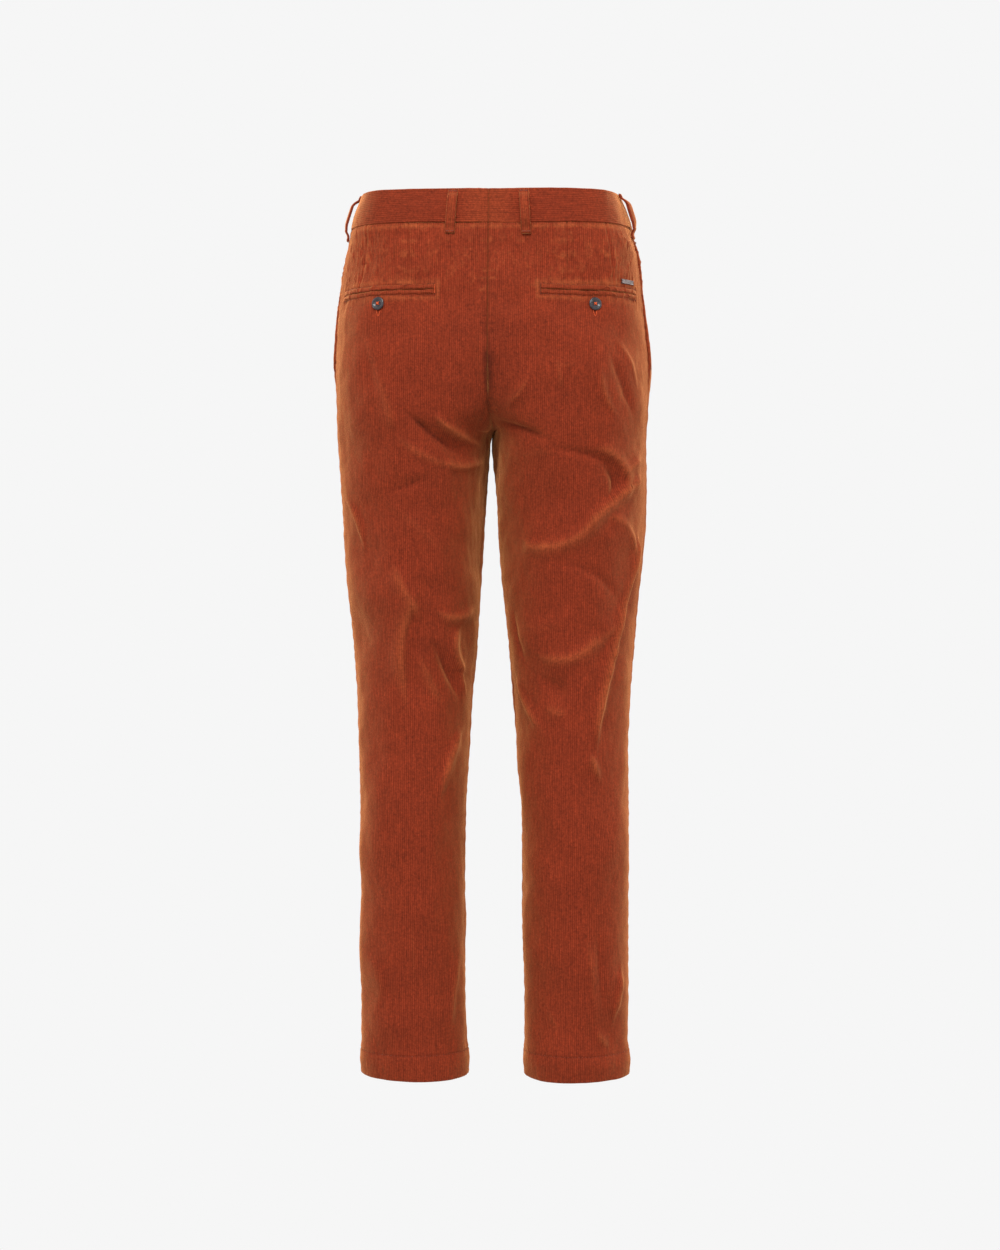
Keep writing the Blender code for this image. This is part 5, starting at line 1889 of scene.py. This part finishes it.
def welts():
    """The two rolled lips of each back pocket, either side of its slit."""
    share = np.linspace(0.0, 1.0, 110)[None, :]
    across = np.linspace(0.0, 1.0, 11)[:, None]
    edge = np.minimum(across, 1 - across)
    roll = 1 - np.abs(2 * across - 0.9) ** 2.4 / 1.3
    rolled = np.clip(roll, 0, 1)
    ends = np.minimum(share, 1 - share) * WELT_LENGTH
    end_turn = 1 - (1 - np.clip(ends / 0.0016, 0, 1)) ** 2
    for side in (LEFT, RIGHT):
        row_along, row_z = pocket_line(side, share)
        for place, way in (("upper", 1), ("lower", -1)):
            wander = 0.00025 * np.sin(row_along * 160 + way) + 0.00015 * np.sin(row_along * 390)
            z = row_z + way * (WELT_SLIT / 2 + across * WELT_WIDTH) + wander
            along = np.broadcast_to(row_along, z.shape)
            swell = 1 + 0.14 * np.sin(row_along * 210 + 2 * way) * np.sin(row_along * 63)
            height = (0.0005 + WELT_ROLL * rolled * swell) * mix(0.3, 1, end_turn)
            rise = DRAPES[side].relief(along, z)[0]
            name = "welt_" + place + "_" + SIDE_NAMES[side]
            # Painted highlight on the top of each rolled lip and painted shade along its edges.
            piece = cloth_strip(
                name + "_cloth", side, along, z, rise + height, height + 0.0004, along,
                across * WELT_WIDTH, 0.4 * ease(edge / 0.12), 0.2 * rolled**2,
                0.9 * bump(edge, 0.08),
            )
            finish_piece(piece, "corduroy", name)


# ---- Trims ----


def seat_on(side, along, z, lift):
    """A place on the cloth, lifted that much, turned to face outwards with its own up."""
    point = Vector(on_cloth(side, [along], [z], lift)[0])
    normal = Vector(FORMS[side].outward(along, z))
    across = Vector((0.0, 0.0, 1.0)).cross(normal).normalized()
    turn = Matrix((across, normal.cross(across), normal)).transposed()
    return Matrix.Translation(point) @ turn.to_4x4()


# A button's half section, from the middle of its face round the rim to the middle of its back,
# as shares of its radius and of half its thickness
BUTTON_PROFILE = (
    (0.0, 0.10), (0.30, 0.12), (0.50, 0.22), (0.60, 0.52), (0.66, 0.82), (0.72, 0.96),
    (0.80, 1.00), (0.88, 0.96), (0.95, 0.74), (0.99, 0.42), (1.0, 0.10), (0.99, -0.30),
    (0.95, -0.62), (0.86, -0.90), (0.70, -1.0), (0.40, -1.0), (0.0, -1.0),
)


def turned_button(name, seat):
    """A button with a rolled rim, a dished middle and four thread holes, in place."""
    shape = bmesh.new()
    points = [
        shape.verts.new((x * BUTTON_WIDTH / 2, 0.0, y * BUTTON_THICK / 2))
        for x, y in BUTTON_PROFILE
    ]
    edges = [shape.edges.new(pair) for pair in zip(points[:-1], points[1:])]
    bmesh.ops.spin(
        shape, geom=points + edges, angle=2 * math.pi, steps=56, axis=(0, 0, 1), cent=(0, 0, 0),
    )
    bmesh.ops.remove_doubles(shape, verts=shape.verts[:], dist=0.00001)
    bmesh.ops.recalc_face_normals(shape, faces=shape.faces[:])
    holes = bmesh.new()
    for i in range(4):
        angle = math.radians(45 + 90 * i)
        place = (BUTTON_HOLE_OUT * math.cos(angle), BUTTON_HOLE_OUT * math.sin(angle), 0)
        bmesh.ops.create_cone(
            holes, cap_ends=True, segments=20, radius1=BUTTON_HOLE / 2,
            radius2=BUTTON_HOLE / 2, depth=3 * BUTTON_THICK, matrix=Matrix.Translation(place),
        )
    piece = add_object(name, mesh_of(shape, name))
    cutter = add_object(name + "_holes", mesh_of(holes, name + "_holes"))
    cut = piece.modifiers.new("thread holes", "BOOLEAN")
    cut.operation = "DIFFERENCE"
    cut.solver = "EXACT"
    cut.object = cutter
    bored = baked(piece, cut).data
    bpy.data.objects.remove(cutter, do_unlink=True)
    bored.transform(seat)
    bored.materials.clear()
    bored.materials.append(button_horn())
    bored.set_sharp_from_angle(angle=math.radians(38))
    return piece


def each_button():
    """Each button's name, side, distance round, height and lift off the cloth."""
    for side in (LEFT, RIGHT):
        along, z = button_place(side)
        yield "button_" + SIDE_NAMES[side], side, along, z, BUTTON_LIFT
    along = float(FORMS[LEFT].at_x(FRONT_BUTTON_X, 0.0, False))
    yield "button_front", LEFT, along, 0.0, BAND_PROUD + BUTTON_LIFT


def button_thread(lift):
    """A button's crossed strands and its shank down to the cloth, about the button's middle."""
    half = BUTTON_THICK / 2
    out = BUTTON_HOLE_OUT * math.sqrt(0.5)
    strands = []
    for way in (-1, 1):
        for strand in range(-2, 3):
            shift = strand * 0.00026
            rise = 0.16 * half + 0.0007 - 0.00008 * abs(strand)
            start, end = (Vector((s * way * out + shift, s * out, rise)) for s in (-1, 1))
            middle = (start + end) / 2 + Vector((0, 0, 0.0005 + 0.0002 * way))
            strands += [(start, middle), (middle, end)]
    for i in range(8):
        angle = 2 * math.pi * i / 8
        foot = Vector((0.0012 * math.cos(angle), 0.0012 * math.sin(angle), 0.0))
        under = Vector((0, 0, 0.0004 - half))
        strands.append((foot + under, foot + Vector((0, 0, -half - lift - 0.0006))))
    return strands


def buttons():
    for name, side, along, z, lift in each_button():
        seat = seat_on(side, along, z, lift + BUTTON_THICK / 2)
        finish_piece(turned_button(name + "_turned", seat), "button", name)
        strands = [(seat @ start, seat @ end) for start, end in button_thread(lift)]
        finish_piece(stitched(name + "_thread", [strands], bright_thread(), 1.25, 1.25), "thread")


def plate():
    """The small bare plate above the right back pocket: a dished bar with raised edges and a
    notch at each end."""
    middle, z_middle = pocket_line(RIGHT, PLATE_SHARE)
    z_middle = z_middle + PLATE_RISE
    across, upward = np.meshgrid(np.linspace(-0.5, 0.5, 61), np.linspace(0.5, -0.5, 17))
    notch = PLATE_NOTCH * np.clip((np.abs(across) - 0.42) / 0.08, 0, 1)
    notch = notch * np.clip(1 - 2 * np.abs(upward), 0, 1) ** 0.8
    along = middle + across * PLATE_LENGTH - np.sign(across) * notch
    z = z_middle + upward * PLATE_HEIGHT - 0.0006 * across
    bars = bump(np.abs(upward) - 0.40, 0.09, 3)
    dish = 0.00045 * bars + 0.0002 * bump(np.abs(across) - 0.47, 0.03, 2)
    to_edge = np.minimum(0.5 - np.abs(across), (0.5 - np.abs(upward)) * PLATE_HEIGHT / PLATE_LENGTH)
    rounded = -0.00035 * (1 - np.clip(to_edge / 0.018, 0, 1)) ** 2
    foot = DRAPES[RIGHT].relief(np.full_like(z, middle), np.full_like(z, z_middle))[0] + SEAM_GAP
    outer = above_form(RIGHT, along, z, foot + PLATE_WALL + 0.0004 + dish + rounded)
    vertices, faces, _ = grid_wall(outer, above_form(RIGHT, along, z, foot))
    piece = add_piece("plate_metal", vertices, faces, [plate_metal()])
    piece.data.set_sharp_from_angle(angle=math.radians(50))
    finish_piece(piece, "plate", "plate")


# ---- Stitching ----


def bar_at(side, start, end, width, count, lift):
    """A bar of close stitches between two (distance round, height) places."""
    along, z = zip(start, end)
    points = on_cloth(side, along, z, lift)
    return satin_bar(*points, width, FORMS[side].outward(*start), count)


def hem_stitching():
    """The row that holds the turned-up hem, round both legs."""
    rows = []
    for side in (LEFT, RIGHT):
        z = np.full(160, HEM + HEM_DEPTH)
        along, raised = slanted(FORMS[side], np.linspace(0, 1, 160) * FORMS[side].girth(z), z)
        rise = DRAPES[side].relief(along, raised, z)[0] + 0.00030
        points = above_form(side, along, raised, rise)
        rows.append(stitch_row(points, 1.6 * trims().stitch_length))
    return stitched("hem_stitching", rows, seam_thread(), 0.55)


def pocket_stitching():
    """The outline sewn round the back pockets, with a bar at each end of a mouth."""
    outline, bars = [], []
    half = POCKET_HALF + 0.0006
    for side in (LEFT, RIGHT):
        along, line = pocket_line(side, np.linspace(-0.0045, 1.0045, 60))
        for way in (1, -1):
            points = on_cloth(side, along, line + way * half, STITCH_LIFT)
            outline.append(stitch_row(points, trims().stitch_length))
        for share in (-0.004, 1.004):
            place, z = pocket_line(side, share)
            if not (side == LEFT and share < 0):
                bars.append(bar_at(side, (place, z + half), (place, z - half), 0.0011, 16, 0.0009))
    yield stitched("pocket_stitching", outline, seam_thread(), 0.8)
    yield stitched("pocket_end_bars", bars, seam_thread(), 1.0, 1.15)


def front_stitching():
    """Stitching along the slanted pocket mouths and round the fly."""
    rows, bars = [], []

    def sew(side, along, z):
        lift = on_front(side, along, z)[0] + STITCH_LIFT
        rows.append(stitch_row(on_cloth(side, along, z, lift), trims().stitch_length))

    for side in (LEFT, RIGHT):
        form = FORMS[side]
        z = np.linspace(BAND_FOOT - 0.001, MOUTH_FOOT + 0.004, 60)
        sew(side, form.seam(z) + mouth_cut(z) + MOUTH_STITCH, z)
        for height in (BAND_FOOT - 0.012, MOUTH_FOOT + 0.004):
            edge = form.seam(height) + mouth_cut(height) + 0.0006
            ends = np.array([edge, edge + MOUTH_STITCH])
            lift = on_front(side, ends, np.full(2, height))[0].max() + 0.0008
            bars.append(bar_at(side, (ends[0], height), (ends[1], height), 0.0022, 14, lift))
    form = FORMS[LEFT]
    z = np.linspace(BAND_FOOT - 0.001, FLY_FOOT, 90)
    sew(LEFT, form.girth(z) - np.maximum(fly_curve(z), 0.0012), z)
    centre = form.girth(FLY_FOOT)
    foot = (centre - 0.0015, FLY_FOOT + 0.001), (centre - 0.0095, FLY_FOOT + 0.003)
    bars.append(bar_at(LEFT, *foot, 0.0024, 16, 0.0012))
    yield stitched("front_stitching", rows, seam_thread(), 0.8)
    yield stitched("front_bars", bars, seam_thread(), 1.0, 1.15)


def loop_tacks():
    """Bars of close stitches that hold the belt loops, above and below."""
    bars = []
    for side, _, middle in loop_places():
        form = FORMS[side]
        for height in (BAND_TOP - 0.0042, LOOP_FOOT + 0.0022):
            centre = middle / form.girth(0.0) * form.girth(height)
            along = np.array([centre - 0.0044, centre + 0.0044])
            z = np.array([height, height])
            lift = loop_stand(height) + LOOP_WALL + LOOP_CROWN + 0.00035
            points = above_form(side, along, z, lift + loop_rise(side, along, z))
            bars.append(satin_bar(*points, 0.0016, form.outward(along, z)[0], 22))
    return stitched("loop_tacks", bars, seam_thread(), 1.0, 1.1)


def bright_stitching():
    """The bright tack at the left pocket's inner end and the buttonholes' ends."""
    start, z = pocket_line(LEFT, 0.0)
    half = POCKET_HALF - 0.0008
    tack = (start - 0.0004, z + half), (start - 0.0002, z - half)
    bars = [bar_at(LEFT, *tack, 0.0013, 18, 0.0012)]
    for side in (LEFT, RIGHT):
        along, z = button_place(side)
        for way in (-1, 1):
            ends = (along + way * 0.0026, z - 0.0072), (along + way * 0.0003, z - 0.0146)
            bars.append(bar_at(side, *ends, 0.0009, 18, 0.0008))
    middle = float(FORMS[LEFT].at_x(FRONT_BUTTON_X, 0.0, False))
    for way in (-1, 1):
        ends = (middle - 0.0070, way * 0.0014), (middle - 0.0100, way * 0.0003)
        bars.append(bar_at(LEFT, *ends, 0.0011, 9, BAND_PROUD + 0.0008))
    return stitched("bright_stitching", bars, bright_thread(), 1.0, 1.1)


# ---- Stage ----


def pale_surface(name):
    """Even pale surroundings, which give the garment less light than the camera sees."""
    settings = bpy.context.scene.trousers_stage
    material = bpy.data.materials.new(name)
    material.use_nodes = True
    tree = material.node_tree
    tree.nodes.clear()
    seen = add_node(tree, "ShaderNodeLightPath").outputs["Is Camera Ray"]
    strength = in_range(tree, seen, 0.0, 1.0, settings.fill, 1.0)
    even = in_range(tree, noise(tree, object_place(tree), 0.4), 0.0, 1.0, 0.998, 1.002)
    glow = {"Color": solid(settings.pale), "Strength": maths(tree, "MULTIPLY", strength, even)}
    light = result(tree, "ShaderNodeEmission", glow)
    add_node(tree, "ShaderNodeOutputMaterial", {"Surface": light})
    material.cycles.emission_sampling = "NONE"
    return material


def add_surroundings(shape, name, surface):
    """One pale piece of the stage, from a bmesh round the garment."""
    mesh = mesh_of(shape, name)
    mesh.materials.append(pale_surface(surface))
    add_object(name, mesh)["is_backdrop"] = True


def add_light(name, place, size, power):
    data = bpy.data.lights.new(name, "AREA")
    data.shape = "RECTANGLE"
    data.size, data.size_y = size
    data.energy = power
    lamp = add_object(name, data)
    lamp.location = place
    way = Vector(LIT_MIDDLE) - Vector(place)
    lamp.rotation_euler = way.to_track_quat("-Z", "Y").to_euler()
    lamp.visible_camera = False


def add_camera(settings):
    turn = settings.turn
    ahead = Vector((math.sin(turn), -math.cos(turn), 0.0))
    right = Vector((-math.cos(turn), -math.sin(turn), 0.0))
    data = bpy.data.cameras.new("camera")
    data.lens = CAMERA_LENS
    data.sensor_width = 36.0
    data.clip_end = 60.0
    camera = add_object("camera", data)
    aim = Vector((0.0, 0.0, CAMERA_HEIGHT)) + right * CAMERA_ASIDE
    camera.location = aim - ahead * settings.distance
    camera.rotation_euler = ahead.to_track_quat("-Z", "Y").to_euler()
    bpy.context.scene.camera = camera


def add_stage():
    settings = bpy.context.scene.trousers_stage
    floor, dome = bmesh.new(), bmesh.new()
    low = Matrix.Translation((0, 0, HEM - FLOOR_GAP))
    bmesh.ops.create_circle(floor, cap_ends=True, segments=96, radius=FLOOR_RADIUS, matrix=low)
    add_surroundings(floor, "floor", "pale floor")
    bmesh.ops.create_uvsphere(dome, u_segments=64, v_segments=32, radius=DOME_RADIUS)
    bmesh.ops.reverse_faces(dome, faces=dome.faces[:])
    add_surroundings(dome, "backdrop", "pale backdrop")
    key = settings.key_power
    add_light("overhead light", (0.0, 4.2, 3.6), (3.0, 1.8), key)
    add_light("low light", (0.0, 3.4, -1.9), (2.4, 0.8), key / 1.7)
    for way, name in ((-1, "right light"), (1, "left light")):
        add_light(name, (way * 2.4, -0.6, 0.1), (0.8, 2.4), settings.side_power)
        add_light("front " + name, (way * 1.5, -2.6, 1.9), (1.4, 1.4), key / 7.5)
    world = bpy.data.worlds.new("studio")
    world.color = settings.pale
    bpy.context.scene.world = world
    bpy.context.scene.view_settings.view_transform = "Standard"
    add_camera(settings)


# ---- Operators and panel ----


class TROUSERS_OT_stage(bpy.types.Operator):
    """Add the pale floor and backdrop, the soft lights and the camera"""

    bl_idname = "trousers.stage"
    bl_label = "Stage"

    def execute(self, context):
        add_stage()
        return {"FINISHED"}


class TROUSERS_OT_backs(bpy.types.Operator):
    """Dress the two back panels in corduroy, with their darts, seams and folds"""

    bl_idname = "trousers.backs"
    bl_label = "Back panels"

    def execute(self, context):
        back_panels()
        return {"FINISHED"}


class TROUSERS_OT_fronts(bpy.types.Operator):
    """Dress the two front panels, the pocket facings and the fly shield in corduroy"""

    bl_idname = "trousers.fronts"
    bl_label = "Front panels"

    def execute(self, context):
        front_panels()
        pocket_facings()
        fly_shield()
        return {"FINISHED"}


class TROUSERS_OT_waistband(bpy.types.Operator):
    """Dress the two halves of the waistband, with cords that run round the waist"""

    bl_idname = "trousers.waistband"
    bl_label = "Waistband"

    def execute(self, context):
        waistbands()
        return {"FINISHED"}


class TROUSERS_OT_loops(bpy.types.Operator):
    """Dress the six belt loops and tack them down"""

    bl_idname = "trousers.loops"
    bl_label = "Belt loops"

    def execute(self, context):
        belt_loops()
        finish_piece(loop_tacks(), "thread")
        return {"FINISHED"}


class TROUSERS_OT_pockets(bpy.types.Operator):
    """Roll the lips of the two back pockets and sew round them"""

    bl_idname = "trousers.pockets"
    bl_label = "Back pockets"

    def execute(self, context):
        welts()
        for piece in pocket_stitching():
            finish_piece(piece, "thread")
        return {"FINISHED"}


class TROUSERS_OT_buttons(bpy.types.Operator):
    """Turn the three buttons and sew them on"""

    bl_idname = "trousers.buttons"
    bl_label = "Buttons"

    def execute(self, context):
        buttons()
        return {"FINISHED"}


class TROUSERS_OT_plate(bpy.types.Operator):
    """Form the small bare metal plate above the right back pocket"""

    bl_idname = "trousers.plate"
    bl_label = "Metal plate"

    def execute(self, context):
        plate()
        return {"FINISHED"}


class TROUSERS_OT_stitching(bpy.types.Operator):
    """Sew the hems, the fly, the slanted pockets, the tack and the buttonhole ends"""

    bl_idname = "trousers.stitching"
    bl_label = "Stitching"

    def execute(self, context):
        finish_piece(hem_stitching(), "thread")
        for piece in front_stitching():
            finish_piece(piece, "thread")
        finish_piece(bright_stitching(), "thread")
        return {"FINISHED"}


OPERATORS = (
    TROUSERS_OT_stage, TROUSERS_OT_backs, TROUSERS_OT_fronts, TROUSERS_OT_waistband,
    TROUSERS_OT_loops, TROUSERS_OT_pockets, TROUSERS_OT_buttons, TROUSERS_OT_plate,
    TROUSERS_OT_stitching,
)


class TROUSERS_PT_panel(bpy.types.Panel):
    """Sizes, colours and steps of the corduroy trousers"""

    bl_idname = "TROUSERS_PT_panel"
    bl_label = "Corduroy trousers"
    bl_space_type = "VIEW_3D"
    bl_region_type = "UI"
    bl_category = "Trousers"

    def draw(self, context):
        for title, settings in (
            ("Cloth", context.scene.trousers_cloth), ("Trims", context.scene.trousers_trims),
            ("Stage", context.scene.trousers_stage),
        ):
            box = self.layout.box()
            box.label(text=title)
            for name in settings.__annotations__:
                box.prop(settings, name)
        steps = self.layout.column(align=True)
        for operator in OPERATORS:
            steps.operator(operator.bl_idname)


GROUPS = (
    (TrousersCloth, "trousers_cloth"), (TrousersTrims, "trousers_trims"),
    (TrousersStage, "trousers_stage"),
)


def register():
    for group, name in GROUPS:
        bpy.utils.register_class(group)
        setattr(bpy.types.Scene, name, bpy.props.PointerProperty(type=group))
    for operator in OPERATORS:
        bpy.utils.register_class(operator)
    bpy.utils.register_class(TROUSERS_PT_panel)


def unregister():
    bpy.utils.unregister_class(TROUSERS_PT_panel)
    for operator in reversed(OPERATORS):
        bpy.utils.unregister_class(operator)
    for group, name in reversed(GROUPS):
        delattr(bpy.types.Scene, name)
        bpy.utils.unregister_class(group)


def main():
    register()
    bpy.ops.trousers.stage()
    bpy.ops.trousers.backs()
    bpy.ops.trousers.fronts()
    bpy.ops.trousers.waistband()
    bpy.ops.trousers.loops()
    bpy.ops.trousers.pockets()
    bpy.ops.trousers.buttons()
    bpy.ops.trousers.plate()
    bpy.ops.trousers.stitching()
    boxes = [[list(corner) for corner in box] for box in (FRAME_BOX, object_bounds())]


if __name__ == "__main__":
    main()
